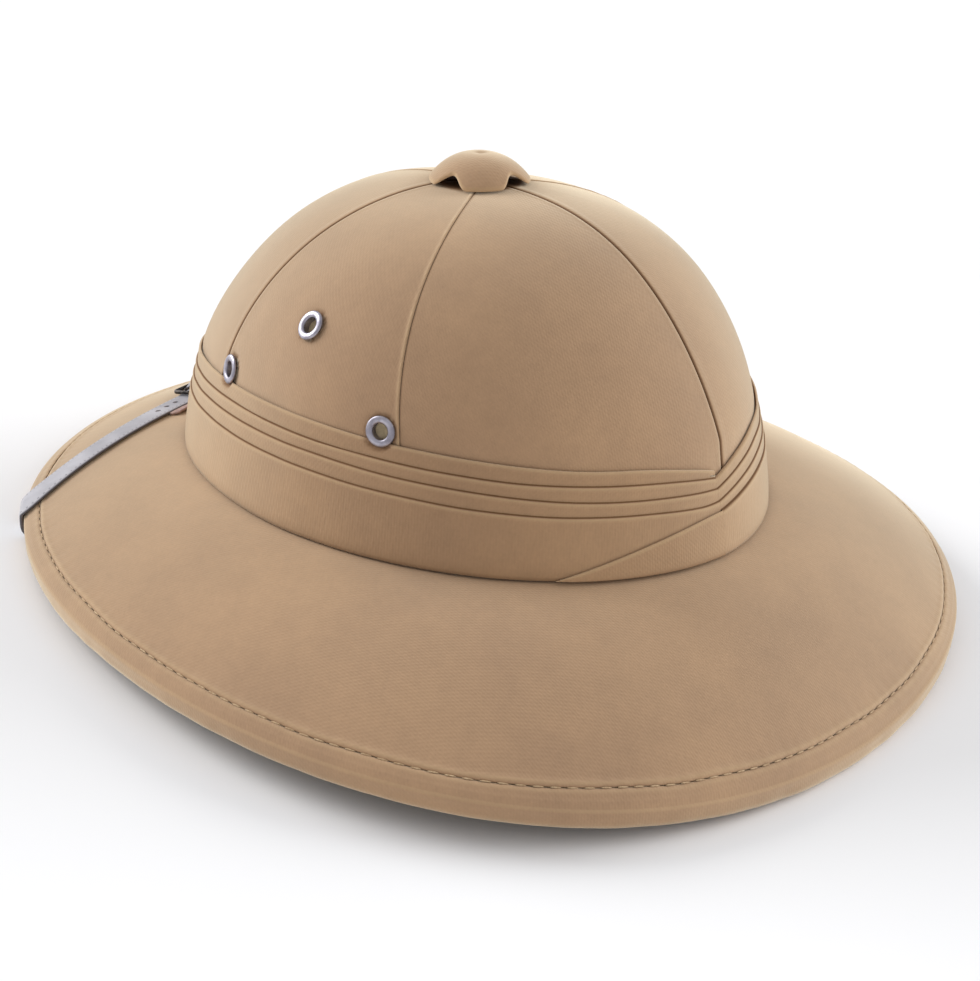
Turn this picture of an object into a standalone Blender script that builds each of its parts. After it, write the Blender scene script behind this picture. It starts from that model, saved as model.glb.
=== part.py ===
"""Pith helmet: a cloth-covered sun helmet with a pleated band, a vent cap, eyelets and a chin strap.

Lengths are in metres and angles in degrees. The helmet is drawn level, with the foot of its crown near z = 0, the
wearer's left at +X and the back at +Y. It is then tipped forward onto the three places that it rests on.
"""

import math

import bmesh
import bpy
from mathutils import Matrix, Vector

# Crown, measured over its cloth
CROWN_HALF_WIDTH = 0.0920
CROWN_HALF_LENGTH = 0.1124
CROWN_HEIGHT = 0.1019
WALL_HEIGHT = 0.0343
WALL_TAPER = 0.05
CROWN_EGG = 0.108
CROWN_SQUARENESS = 1.891
APEX_SHIFT = 0.0047
DOME_SIDE_POWERS = (2.149, 2.019)
DOME_END_POWERS = (1.085, 2.702)

# Foot of the crown, where the brim starts: how far it tips back and how far its sides rise
FOOT_TIP = 0.00085
FOOT_SIDE_RISE = 0.0024

# Brim, measured over its cloth to the edge's outermost line
BRIM_HALF_WIDTH = 0.1620
BRIM_HALF_LENGTH = 0.1686
BRIM_SHIFT_BACK = 0.0100
BRIM_EGG = 0.089
BRIM_SQUARENESS = 1.964
BRIM_CORNER_FULLNESS = 0.020
BRIM_DROP_SIDE = 0.0230
BRIM_DROP_FRONT = 0.0129
BRIM_DROP_BACK = 0.0463
BRIM_DROP_EASE = 0.13
BRIM_CORNER_RISE = 0.0005
BRIM_DOMING = 0.702
BRIM_SHARES = (0.75, 0.5, 0.25)

# Walls and what lies between them
CLOTH = 0.0012
SHELL = 0.0030
GAP = 0.0003
SEAM_GAP = 0.0005
HOLE_CLEARANCE = 0.0004
BACK_CLEARANCE = 0.0018

# Bound edge of the brim
HEM = 0.0055
HEM_UNDER = 0.0070
RIM_RADIUS = 0.0030
LIP = 0.0044
RIM_CORNER = 0.0015
RIM_TURNS = (-160.0, -125.0, -90.0, -45.0, 0.0)

# Seams between the six crown panels
SIDE_SEAM = 26.2
BACK_SEAM = 92.3
FRONT_SEAM = 270.0
SECTOR_STEP = 8.2
DOME_ROWS = 6
OPENING_SHARE = 0.9985

# Pleated band round the crown, which crosses over itself at the back
BAND_HEIGHT = 0.0355
BAND_SIDE_RISE = 0.0051
BAND_TIP = 0.00085
CROSSING = 88.0
CROSSING_STEPS = (2.5, 5.0, 9.0, 14.0)
NEAR_SWEEP = 22.0
FAR_SWEEP = 20.0
NEAR_DIP = 0.0050
FAR_DIP = 0.0075
NEAR_DIP_POWER = 2.0
FAR_DIP_POWER = 1.3
BAND_TOP_FOLD = 0.0010
PLEAT_STEP = 0.0005
PLEAT_LEDGE = 0.0006
LAP_SWEEP = 30.0
# Each pleat's fold as shares: of the band's height, of its rise at the sides, and of the dips beside the crossing
PLEAT_COLUMNS = ("height", "side_rise", "near_dip", "far_dip")
PLEATS = (
    (1.000, 1.00, 1.00, 1.00),
    (0.854, 0.86, 0.61, 0.87),
    (0.724, 0.92, 0.36, 0.75),
    (0.583, 0.80, 0.44, 0.56),
)

# End of the band, lapped over its start
BAND_END_ANGLE = 53.0
BAND_END_CLOTH = 0.0008
BAND_END_POWER = 1.7
BAND_END_TIP_SHARE = 0.06
BAND_END_STEPS = 8

# Vent cap
CAP_RADIUS = 0.0172
CAP_VALLEY_RADIUS = 0.0120
CAP_LOBE_WIDENING = 0.6
CAP_HEIGHT = 0.0094
CAP_WALL = 0.0015
CAP_DOME_POWER = 2.5
CAP_COLUMNS = 24
CAP_ROWS = 4
POST_RADIUS = 0.0025
POST_HEAD_RADIUS = 0.0060
POST_HEAD = 0.0015
POST_STEPS = 12

# Eyelets, three on each side
EYELET_RADIUS = 0.0050
EYELET_HOLE_RADIUS = 0.00265
EYELET_TUBE = 0.0004
EYELET_CREST = 0.0010
EYELET_BACK_RADIUS = 0.0044
EYELET_BACK = 0.0006
EYELET_STEPS = 12
EYELET_SPREAD = 22.6
EYELET_LOW = 0.0424
EYELET_HIGH = 0.0670

# Chin strap
STRAP = 0.0014
STRAP_WIDTH = 0.0104
STRAP_EDGE_ANGLE = -42.3
STRAP_STAND_OFF = 0.0030
STRAP_BOW = 0.0080
STRAP_BOW_POWER = 1.2
STRAP_SKEW_REACH = 0.0200
STRAP_STEP = 0.0095
STRAP_LANDING = 0.0035
FOOT_TURNS = (20.0, 60.0)
RIM_TURN_STEPS = 5
CORNER_TURNS = ((15.0, 0.2), (55.0, 0.7))
PUNCH_RADIUS = 0.0009
PUNCHES = (0.0340, 0.0410, 0.0480)
ANCHOR_HEIGHT = 0.0140
ANCHOR_END = 0.0060
ANCHOR_CLEARANCE = 0.0008

# Buckle, whose pivot bar stands at this X in front of the crown
BUCKLE_X = 0.0080
BUCKLE_LENGTH = 0.0150
BUCKLE_WIRE = 0.0008
BUCKLE_PLAY = 0.0006
BUCKLE_LIFT = 0.0002
BUCKLE_CORNER = 0.0014
PRONG = 0.0006
PRONG_OVERHANG = 0.0015
CHAPE = 0.0100
CHAPE_TURNS = (-45.0, 0.0, 45.0)
TONGUE_RAMP = 0.0060
TAIL = 0.0240

# Rivets that hold the strap's two ends inside the crown
RIVET_SHANK = 0.0014
RIVET_HEAD = 0.0034
RIVET_HEAD_DEPTH = 0.0010
RIVET_SEAT = 0.0014
RIVET_STEPS = 12

# How far cloth and leather give where the helmet rests
FLATTEN = 0.0004
FLOOR = 0.6

UP = Vector((0.0, 0.0, 1.0))
UNDER_CLOTH = CLOTH + GAP
INSIDE = UNDER_CLOTH + SHELL


def new_collection(name):
    made = bpy.data.collections.new(name)
    bpy.context.scene.collection.children.link(made)
    return made


def new_material(name, colour, roughness, metallic=0.0):
    made = bpy.data.materials.new(name)
    made.use_nodes = True
    shader = made.node_tree.nodes["Principled BSDF"]
    shader.inputs["Base Color"].default_value = (*colour, 1.0)
    shader.inputs["Roughness"].default_value = roughness
    shader.inputs["Metallic"].default_value = metallic
    return made


def signed_power(value, exponent):
    return math.copysign(abs(value) ** exponent, value)


def arch(share, powers):
    return (1 - share ** powers[0]) ** (1 / powers[1])


def halved(low, high, is_past):
    """The value between low and high at which is_past turns true."""
    for _ in range(40):
        middle = (low + high) / 2
        if is_past(middle):
            high = middle
        else:
            low = middle
    return low


def wave(angle, tip, side_rise):
    turn = math.radians(angle)
    return tip * math.sin(turn) + side_rise * math.cos(2 * turn)


def foot_height(angle):
    return wave(angle, FOOT_TIP, FOOT_SIDE_RISE)


def crown_size(height):
    """Half width, half length and shift back of the crown's outline at this height."""
    taper = 1 - WALL_TAPER * min(height / WALL_HEIGHT, 1.0)
    rise = min(max((height - WALL_HEIGHT) / (CROWN_HEIGHT - WALL_HEIGHT), 0.0), 1.0)
    wide = CROWN_HALF_WIDTH * taper * arch(rise, DOME_SIDE_POWERS)
    long = CROWN_HALF_LENGTH * taper * arch(rise, DOME_END_POWERS)
    return wide, long, APEX_SHIFT * rise


def crown_surface(angle, height):
    """A point on the crown's cloth: a tapered wall below, a dome above."""
    turn = math.radians(angle)
    bend = 2 / CROWN_SQUARENESS
    wide, long, back = crown_size(height)
    x = wide * (1 + CROWN_EGG * math.sin(turn)) * signed_power(math.cos(turn), bend)
    y = long * signed_power(math.sin(turn), bend) + back
    return Vector((x, y, height))


def surface_normal(surface, angle, along, reach):
    """The side that faces away when the angle turns to the left and the other value rises."""
    across = surface(angle + 0.25, along) - surface(angle - 0.25, along)
    onward = surface(angle, along + reach) - surface(angle, along - reach)
    return across.cross(onward).normalized()


def crown_normal(angle, height):
    return surface_normal(crown_surface, angle, height, 0.00005)


def crown_point(angle, height, out=0.0):
    return crown_surface(angle, height) + crown_normal(angle, height) * out


def foot_point(angle):
    return crown_surface(angle, foot_height(angle))


def foot_corner(angle, depth):
    """The corner between wall and brim, this deep behind both of their cloths."""
    outward = crown_normal(angle, foot_height(angle))
    outward.z = 0.0
    return foot_point(angle) - (outward.normalized() + UP) * depth


def edge_point(angle):
    """The outermost line of the brim, at the top of its bound edge."""
    turn = math.radians(angle)
    bend = 2 / BRIM_SQUARENESS
    fullness = 1 - BRIM_CORNER_FULLNESS * math.cos(4 * turn)
    x = BRIM_HALF_WIDTH * signed_power(math.cos(turn), bend) * (1 + BRIM_EGG * math.sin(turn))
    y = BRIM_SHIFT_BACK + BRIM_HALF_LENGTH * signed_power(math.sin(turn), bend)
    mean = (BRIM_DROP_BACK + BRIM_DROP_FRONT) / 2
    swing = (BRIM_DROP_BACK - BRIM_DROP_FRONT) / 2
    drop = BRIM_DROP_SIDE + (mean - BRIM_DROP_SIDE) * math.sin(turn) ** 2
    drop += swing * ((1 - BRIM_DROP_EASE) * math.sin(turn) - BRIM_DROP_EASE * math.sin(3 * turn))
    drop -= BRIM_CORNER_RISE * math.sin(2 * turn) ** 2
    return Vector((x * fullness, y * fullness, -drop))


def edge_tangent(angle):
    return (edge_point(angle + 0.25) - edge_point(angle - 0.25)).normalized()


def edge_outward(angle):
    return edge_tangent(angle).cross(UP).normalized()


def brim_length(angle):
    return (edge_point(angle) - foot_point(angle)).length


def brim_surface(angle, share):
    """A point on the brim's cloth, from the crown's foot at 0 to the edge at 1."""
    foot = foot_point(angle)
    edge = edge_point(angle)
    point = foot.lerp(edge, share)
    point.z = foot.z + (edge.z - foot.z) * share * (1 - BRIM_DOMING * (1 - share))
    return point


def brim_normal(angle, share):
    return -surface_normal(brim_surface, angle, share, 0.002)


def brim_point(angle, share, out=0.0):
    return brim_surface(angle, share) + brim_normal(angle, share) * out


def share_from_edge(angle, distance):
    return 1 - distance / brim_length(angle)


def leaning(outward, turn):
    """The direction that leans from outward, at 0, up or down by this turn."""
    return outward * math.cos(math.radians(turn)) + UP * math.sin(math.radians(turn))


def rim_centre(angle):
    return edge_point(angle) - edge_outward(angle) * RIM_RADIUS - UP * LIP


def rim_point(angle, turn, radius=RIM_RADIUS):
    return rim_centre(angle) + leaning(edge_outward(angle), turn) * radius


def spread(first, last, count):
    return [first + (last - first) * i / count for i in range(count + 1)]


def sectors():
    """The angles of the columns across each crown panel, both of its seams included."""
    seams = (-SIDE_SEAM, SIDE_SEAM, BACK_SEAM, 180 - SIDE_SEAM, 180 + SIDE_SEAM, FRONT_SEAM, 360 - SIDE_SEAM)
    return [spread(a, b, round((b - a) / SECTOR_STEP)) for a, b in zip(seams, seams[1:])]


def all_angles():
    return [angle for sector in sectors() for angle in sector[:-1]]


def dome_heights():
    shares = [math.sin(math.radians(90.0 * row / DOME_ROWS)) for row in range(DOME_ROWS)]
    return [WALL_HEIGHT + (CROWN_HEIGHT - WALL_HEIGHT) * share for share in shares + [OPENING_SHARE]]


def mid_wall(angle):
    return (foot_height(angle) + WALL_HEIGHT) / 2


def grid(bm, rows, around):
    """Quads between rows of points. With rows that rise and columns that turn left they face away."""
    verts = [[bm.verts.new(point) for point in row] for row in rows]
    for low, high in zip(verts, verts[1:]):
        for j in range(len(low) if around else len(low) - 1):
            k = (j + 1) % len(low)
            bm.faces.new((low[j], low[k], high[k], high[j]))
    return verts


def new_object(name, bm, finish, group):
    mesh = bpy.data.meshes.new(name)
    bm.to_mesh(mesh)
    bm.free()
    mesh.materials.append(finish)
    mesh.shade_smooth()
    made = bpy.data.objects.new(name, mesh)
    group.objects.link(made)
    return made


def sheet(name, rows, around, thickness, finish, group, pole=None):
    """Cloth or felt whose outer face runs through rows of points, closed at a pole if there is one."""
    bm = bmesh.new()
    verts = grid(bm, rows, around)
    if pole:
        top = bm.verts.new(pole)
        for first, second in zip(verts[-1], verts[-1][1:] + verts[-1][:1]):
            bm.faces.new((first, second, top))
    made = new_object(name, bm, finish, group)
    wall = made.modifiers.new("wall", "SOLIDIFY")
    wall.thickness = thickness
    wall.offset = -1.0
    wall.use_even_offset = True
    return made


def loft(name, sections, finish, group):
    """A closed body through outlines of equal count, filled at its two ends."""
    bm = bmesh.new()
    verts = grid(bm, sections, around=True)
    bm.faces.new(verts[0])
    bm.faces.new(verts[-1])
    bmesh.ops.recalc_face_normals(bm, faces=bm.faces)
    return new_object(name, bm, finish, group)


def turned(name, profile, is_ring, steps, frame, finish, group):
    """A profile of radii and heights, top to bottom down its outer side, turned about the frame's Z."""
    bm = bmesh.new()
    verts = [bm.verts.new((radius, 0.0, height)) for radius, height in profile]
    for first, second in zip(verts, verts[1:] + verts[:1] if is_ring else verts[1:]):
        bm.edges.new((first, second))
    made = new_object(name, bm, finish, group)
    screw = made.modifiers.new("turn", "SCREW")
    screw.steps = steps
    screw.render_steps = steps
    screw.use_merge_vertices = True
    screw.merge_threshold = 0.00001
    made.matrix_basis = frame
    return made


def wire(name, points, radius, is_loop, finish, group):
    curve = bpy.data.curves.new(name, "CURVE")
    curve.dimensions = "3D"
    curve.bevel_depth = radius
    curve.bevel_resolution = 2
    curve.use_fill_caps = not is_loop
    spline = curve.splines.new("POLY")
    spline.points.add(len(points) - 1)
    for point, place in zip(spline.points, points):
        point.co = (*place, 1.0)
    spline.use_cyclic_u = is_loop
    curve.materials.append(finish)
    made = bpy.data.objects.new(name, curve)
    group.objects.link(made)
    return made


def frame_at(point, axis):
    """A placement at the point whose Z runs along the axis."""
    return Matrix.Translation(point) @ axis.to_track_quat("Z", "Y").to_matrix().to_4x4()


def new_cutter(name, bm, frame, group):
    mesh = bpy.data.meshes.new(name)
    bm.to_mesh(mesh)
    bm.free()
    made = bpy.data.objects.new(name, mesh)
    made.matrix_basis = frame
    made.hide_render = True
    made.display_type = "WIRE"
    group.objects.link(made)
    return made


def round_cutter(name, radius, centre, axis, reach, group, sides=14):
    """A cylinder that reaches this far to both sides of its centre."""
    bm = bmesh.new()
    bmesh.ops.create_cone(bm, cap_ends=True, segments=sides, radius1=radius, radius2=radius, depth=2 * reach)
    return new_cutter(name, bm, frame_at(centre, axis), group)


def cut(item, tools):
    for tool in tools:
        hole = item.modifiers.new(tool.name, "BOOLEAN")
        hole.operation = "DIFFERENCE"
        hole.solver = "EXACT"
        hole.object = tool


def build_shell(finish, group):
    """The moulded body of crown and brim, under all of the cloth."""
    angles = all_angles()
    rows = [[brim_point(a, share_from_edge(a, CLOTH + 2 * GAP), -UNDER_CLOTH) for a in angles]]
    for share in (1.0, *BRIM_SHARES):
        rows.append([brim_point(a, share_from_edge(a, HEM) * share, -UNDER_CLOTH) for a in angles])
    rows.append([foot_corner(a, UNDER_CLOTH) for a in angles])
    rows.append([crown_point(a, mid_wall(a), -UNDER_CLOTH) for a in angles])
    for height in dome_heights():
        rows.append([crown_point(a, height, -UNDER_CLOTH) for a in angles])
    pole = Vector((0.0, APEX_SHIFT, CROWN_HEIGHT - UNDER_CLOTH))
    return sheet("shell", rows, True, SHELL, finish, group, pole)


def panel_row(sector, heights):
    """One row of a panel, held back from each seam by half of its gap."""
    points = []
    for j, (angle, height) in enumerate(zip(sector, heights)):
        per_degree = (crown_surface(angle + 0.5, height) - crown_surface(angle - 0.5, height)).length
        side = (j == 0) - (j == len(sector) - 1)
        points.append(crown_point(angle + side * SEAM_GAP / 2 / per_degree, height))
    return points


def build_panels(finish, group):
    """Six gores of cloth that run from the cap down behind the band."""
    names = ("left", "back_left", "back_right", "right", "front_right", "front_left")
    panels = {}
    for name, sector in zip(names, sectors()):
        rows = [panel_row(sector, [foot_height(a) for a in sector])]
        rows.append(panel_row(sector, [mid_wall(a) for a in sector]))
        for height in dome_heights():
            rows.append(panel_row(sector, [height] * len(sector)))
        panels[name] = sheet("crown_panel_" + name, rows, False, CLOTH, finish, group)
    return panels


def build_brim_cover(finish, group):
    angles = all_angles()
    rows = []
    for share in (1.0, *BRIM_SHARES, 0.0):
        row = []
        for angle in angles:
            inner = GAP / brim_length(angle)
            outer = share_from_edge(angle, HEM + SEAM_GAP / 2)
            row.append(brim_point(angle, inner + (outer - inner) * share))
        rows.append(row)
    return sheet("brim_cover", rows, True, CLOTH, finish, group)


def build_binding(finish, group):
    """The hem, which turns over the edge of the brim and in under it."""
    angles = all_angles()
    below = -(INSIDE + GAP + CLOTH)
    rows = [[brim_point(a, share_from_edge(a, HEM_UNDER), below) for a in angles]]
    for turn in RIM_TURNS:
        rows.append([rim_point(a, turn) for a in angles])
    rows.append([edge_point(a) - UP * RIM_CORNER for a in angles])
    rows.append([brim_point(a, share_from_edge(a, RIM_CORNER)) for a in angles])
    rows.append([brim_point(a, share_from_edge(a, HEM - SEAM_GAP / 2)) for a in angles])
    return sheet("brim_binding", rows, True, CLOTH, finish, group)


def fold_height(index, travel):
    """The height of a pleat's fold, this many degrees round from the crossing."""
    row = dict(zip(PLEAT_COLUMNS, PLEATS[index]))
    far = max(1 - travel / FAR_SWEEP, 0.0) ** FAR_DIP_POWER
    near = max(1 - (360 - travel) / NEAR_SWEEP, 0.0) ** NEAR_DIP_POWER
    height = BAND_HEIGHT * row["height"] + wave(CROSSING + travel, BAND_TIP, BAND_SIDE_RISE * row["side_rise"])
    return height - FAR_DIP * row["far_dip"] * far - NEAR_DIP * row["near_dip"] * near


def band_depth():
    return GAP + BAND_TOP_FOLD + PLEAT_STEP * (len(PLEATS) - 1)


def band_section(travel):
    """The band's outline at one place: a stepped outer face and a plain inner one."""
    angle = CROSSING + travel
    foot = foot_height(angle) + GAP
    folds = [fold_height(i, travel) for i in range(len(PLEATS))]
    out = GAP + BAND_TOP_FOLD + (GAP + BAND_END_CLOTH) * max(1 - travel / LAP_SWEEP, 0.0)
    outer = [(folds[0], out)]
    for fold in folds[1:]:
        outer.append((fold + PLEAT_LEDGE, out))
        out += PLEAT_STEP
        outer.append((fold, out))
    outer.append((foot, out))
    inner = [(height, GAP) for height in (foot, min(WALL_HEIGHT, folds[0] - PLEAT_LEDGE), folds[0])]
    return [crown_point(angle, height, away) for height, away in outer + inner]


def crossing_gap():
    return math.degrees(GAP / 2 / CROWN_HALF_LENGTH)


def build_band(finish, group):
    clear = CROSSING_STEPS[-1] + SECTOR_STEP / 3
    travels = [(angle - CROSSING) % 360 for angle in all_angles()]
    travels = [travel for travel in travels if clear < travel < 360 - clear]
    for step in (crossing_gap(), *CROSSING_STEPS):
        travels += [step, 360 - step]
    return loft("band", [band_section(travel) for travel in sorted(travels)], finish, group)


def build_band_end(finish, group):
    """The end of the band, which crosses over its start and narrows down to the brim."""
    base = band_depth() + GAP
    top_at_crossing = fold_height(len(PLEATS) - 1, 0.0)
    sections = []
    for share in spread(BAND_END_TIP_SHARE, 1.0, BAND_END_STEPS):
        angle = BAND_END_ANGLE + (CROSSING - crossing_gap() - BAND_END_ANGLE) * share
        foot = foot_height(angle) + GAP
        top = foot + (top_at_crossing - foot) * (1 - (1 - share) ** BAND_END_POWER)
        outer = [crown_point(angle, height, base + BAND_END_CLOTH) for height in (top, foot)]
        inner = [crown_point(angle, height, base) for height in (foot, top)]
        sections.append(outer + inner)
    return loft("band_end", sections, finish, group)


def crown_height_at(x, y):
    """The height of the crown's cloth at this place near its apex."""

    def is_outside(height):
        wide, long, back = crown_size(height)
        along = (y - back) / long
        tip = max(-1.0, min(1.0, signed_power(along, CROWN_SQUARENESS / 2)))
        across = x / (wide * (1 + CROWN_EGG * tip))
        return abs(across) ** CROWN_SQUARENESS + abs(along) ** CROWN_SQUARENESS > 1

    return halved(WALL_HEIGHT, CROWN_HEIGHT, is_outside)


def build_vent_cap(finish, group):
    """A small dome that stands on four lobes and is open under the arches between them."""
    top = CROWN_HEIGHT + CAP_HEIGHT
    rings = [[] for _ in range(CAP_ROWS)]
    for turn in spread(0.0, 2 * math.pi, CAP_COLUMNS)[:-1]:
        lobe = (1 - math.cos(4 * turn)) / 2
        bulge = math.sin(min(lobe / CAP_LOBE_WIDENING, 1.0) * math.pi / 2)
        radius = CAP_VALLEY_RADIUS + (CAP_RADIUS - CAP_VALLEY_RADIUS) * bulge
        out = Vector((math.cos(turn), math.sin(turn), 0.0))
        seat = crown_height_at(CAP_RADIUS * out.x, APEX_SHIFT + CAP_RADIUS * out.y)
        drop = top - CAP_WALL - GAP - seat
        for row, ring in enumerate(rings):
            reach = radius * (row + 1) / CAP_ROWS
            fall = drop * (reach / CAP_RADIUS) ** CAP_DOME_POWER
            ring.append(Vector((0.0, APEX_SHIFT, top - fall)) + out * reach)
    bm = bmesh.new()
    under = [[point - UP * CAP_WALL for point in ring] for ring in rings]
    verts = grid(bm, under + rings[::-1], around=True)
    for ring, height in ((verts[0], top - CAP_WALL), (verts[-1], top)):
        pole = bm.verts.new((0.0, APEX_SHIFT, height))
        for first, second in zip(ring, ring[1:] + ring[:1]):
            bm.faces.new((first, second, pole))
    bmesh.ops.recalc_face_normals(bm, faces=bm.faces)
    return new_object("vent_cap", bm, finish, group)


def build_cap_post(finish, group):
    head = CROWN_HEIGHT - INSIDE - BACK_CLEARANCE
    top = CROWN_HEIGHT + CAP_HEIGHT - CAP_WALL - 2 * GAP
    profile = (
        (0.0, top),
        (POST_RADIUS, top),
        (POST_RADIUS, head),
        (POST_HEAD_RADIUS, head),
        (POST_HEAD_RADIUS, head - POST_HEAD),
        (0.0, head - POST_HEAD),
    )
    frame = Matrix.Translation((0.0, APEX_SHIFT, 0.0))
    return turned("cap_post", profile, False, POST_STEPS, frame, finish, group)


def eyelet_places():
    """The crown angle and height of each eyelet, by its name."""
    places = {}
    for part, angle, height in (
        ("front", -EYELET_SPREAD, EYELET_LOW),
        ("top", 0.0, EYELET_HIGH),
        ("back", EYELET_SPREAD, EYELET_LOW),
    ):
        places["left_" + part] = (angle, height)
        places["right_" + part] = (180 - angle, height)
    return places


def build_eyelets(finish, group):
    barrel = EYELET_HOLE_RADIUS + EYELET_TUBE
    back = -(INSIDE + BACK_CLEARANCE)
    profile = (
        (EYELET_HOLE_RADIUS, GAP + EYELET_CREST / 2),
        ((EYELET_HOLE_RADIUS + EYELET_RADIUS) / 2, GAP + EYELET_CREST),
        (EYELET_RADIUS, GAP + EYELET_CREST / 2),
        (EYELET_RADIUS, GAP),
        (barrel, GAP),
        (barrel, back),
        (EYELET_BACK_RADIUS, back),
        (EYELET_BACK_RADIUS, back - EYELET_BACK),
        (EYELET_HOLE_RADIUS, back - EYELET_BACK),
    )
    for name, (angle, height) in eyelet_places().items():
        frame = frame_at(crown_point(angle, height), crown_normal(angle, height))
        turned("eyelet_" + name, profile, True, EYELET_STEPS, frame, finish, group)


def eyelet_cutters(group):
    """The holes that the eyelets of each side pass, and the notches of the low ones in the band."""
    holes = {"left": [], "right": []}
    notches = []
    barrel = EYELET_HOLE_RADIUS + EYELET_TUBE + HOLE_CLEARANCE
    for name, (angle, height) in eyelet_places().items():
        centre = crown_point(angle, height)
        axis = crown_normal(angle, height)
        holes[name.split("_")[0]].append(round_cutter("hole_" + name, barrel, centre, axis, 2 * INSIDE, group))
        if height == EYELET_LOW:
            notch = EYELET_RADIUS + GAP
            notches.append(round_cutter("notch_" + name, notch, centre, axis, 2 * INSIDE, group, 20))
    return holes, notches


def strap_y(x):
    """The strap's middle line over the brim, from one edge to the other."""
    front = -(CROWN_HALF_LENGTH + band_depth() + STRAP_STAND_OFF + STRAP_WIDTH / 2)
    edge = edge_point(STRAP_EDGE_ANGLE)
    share = (math.hypot(x, STRAP_BOW) - STRAP_BOW) / (math.hypot(edge.x, STRAP_BOW) - STRAP_BOW)
    return edge.y + (front - edge.y) * max(1 - share, 0.0) ** STRAP_BOW_POWER


def brim_place(x, y):
    """The angle and share of the brim's surface at this place in front of the crown."""

    def is_past(angle):
        run = edge_point(angle) - foot_point(angle)
        return run.x * (y - foot_point(angle).y) - run.y * (x - foot_point(angle).x) < 0

    angle = halved(-175.0, -5.0, is_past)
    foot = foot_point(angle)
    edge = edge_point(angle)
    return angle, math.hypot(x - foot.x, y - foot.y) / math.hypot(edge.x - foot.x, edge.y - foot.y)


def over_brim(x, height):
    """A section of the strap over the brim: its middle, its facing and half of its width."""
    angle, share = brim_place(x, strap_y(x))
    facing = brim_normal(angle, share)
    travel = Vector((0.001, strap_y(x + 0.0005) - strap_y(x - 0.0005), 0.0))
    across = facing.cross(travel).normalized() * STRAP_WIDTH / 2
    return brim_surface(angle, share) + facing * height, facing, across


def landing(x, height):
    """A section over the brim that lies along the edge where the strap turns round it."""
    middle, facing, across = over_brim(x, height)
    along = edge_tangent(STRAP_EDGE_ANGLE)
    along = (along - facing * along.dot(facing)).normalized()
    along *= math.copysign(STRAP_WIDTH / 2, along.dot(across)) / abs(along.dot(across.normalized()))
    share = min(max((edge_point(STRAP_EDGE_ANGLE).x - x) / STRAP_SKEW_REACH, 0.0), 1.0)
    return middle, facing, along.lerp(across, share)


def anchor_angle():
    """Where the strap, run straight in from the edge, meets the crown."""
    edge = edge_point(STRAP_EDGE_ANGLE)
    outward = edge_outward(STRAP_EDGE_ANGLE)

    def is_past(angle):
        inward = foot_point(angle) - edge
        return inward.x * outward.y - inward.y * outward.x < 0

    return halved(-80.0, -5.0, is_past)


def strap_depth():
    return INSIDE + ANCHOR_CLEARANCE + STRAP / 2


def strap_inside():
    """The sections from the riveted end down the wall, out under the brim and round its edge."""
    anchor = anchor_angle()
    foot = foot_height(anchor)
    wall_along = UP.cross(crown_normal(anchor, foot)).normalized() * STRAP_WIDTH / 2
    sections = []
    for height in (ANCHOR_HEIGHT + ANCHOR_END, ANCHOR_HEIGHT, ANCHOR_HEIGHT / 2, 0.0):
        inward = -crown_normal(anchor, foot + height)
        sections.append((crown_point(anchor, foot + height, -strap_depth()), inward, wall_along))
    corner = foot_corner(anchor, INSIDE)
    inward = Vector((inward.x, inward.y, 0.0)).normalized()
    for turn in FOOT_TURNS:
        facing = leaning(inward, -turn)
        sections.append((corner + facing * (ANCHOR_CLEARANCE + STRAP / 2), facing, wall_along))
    outward = edge_outward(STRAP_EDGE_ANGLE)
    edge_along = edge_tangent(STRAP_EDGE_ANGLE) * STRAP_WIDTH / 2
    run = sections[-1][0] - rim_centre(STRAP_EDGE_ANGLE)
    leave = -90 - math.degrees(math.atan2(run.z + RIM_RADIUS, math.hypot(run.x, run.y)))
    for turn in spread(leave, 0.0, RIM_TURN_STEPS):
        middle = rim_point(STRAP_EDGE_ANGLE, turn, RIM_RADIUS + GAP + STRAP / 2)
        sections.append((middle, leaning(outward, turn), edge_along))
    flat = landing(edge_point(STRAP_EDGE_ANGLE).x, 0.0)[2]
    flat *= math.copysign(1.0, flat.dot(edge_along))
    for turn, share in CORNER_TURNS:
        facing = leaning(outward, turn)
        middle = edge_point(STRAP_EDGE_ANGLE) + facing * (GAP + STRAP / 2)
        sections.append((middle, facing, edge_along.lerp(flat, share)))
    return sections


def flat_run(last, height):
    first = edge_point(STRAP_EDGE_ANGLE).x - STRAP_LANDING
    return [landing(x, height) for x in spread(first, last, round((first - last) / STRAP_STEP))]


def mirrored(section):
    return [Vector((-value.x, value.y, value.z)) for value in section]


def strap_body(name, sections, finish, group):
    outlines = []
    last = sections[0][2]
    for middle, facing, half in sections:
        half = half * math.copysign(1.0, half.dot(last))
        last = half
        thick = facing * STRAP / 2
        outlines.append([middle + half + thick, middle - half + thick, middle - half - thick, middle + half - thick])
    return loft(name, outlines, finish, group)


def bar_height():
    return 2 * GAP + STRAP + BUCKLE_WIRE + BUCKLE_LIFT


def chape_radius():
    return BUCKLE_WIRE + GAP + STRAP / 2


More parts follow.
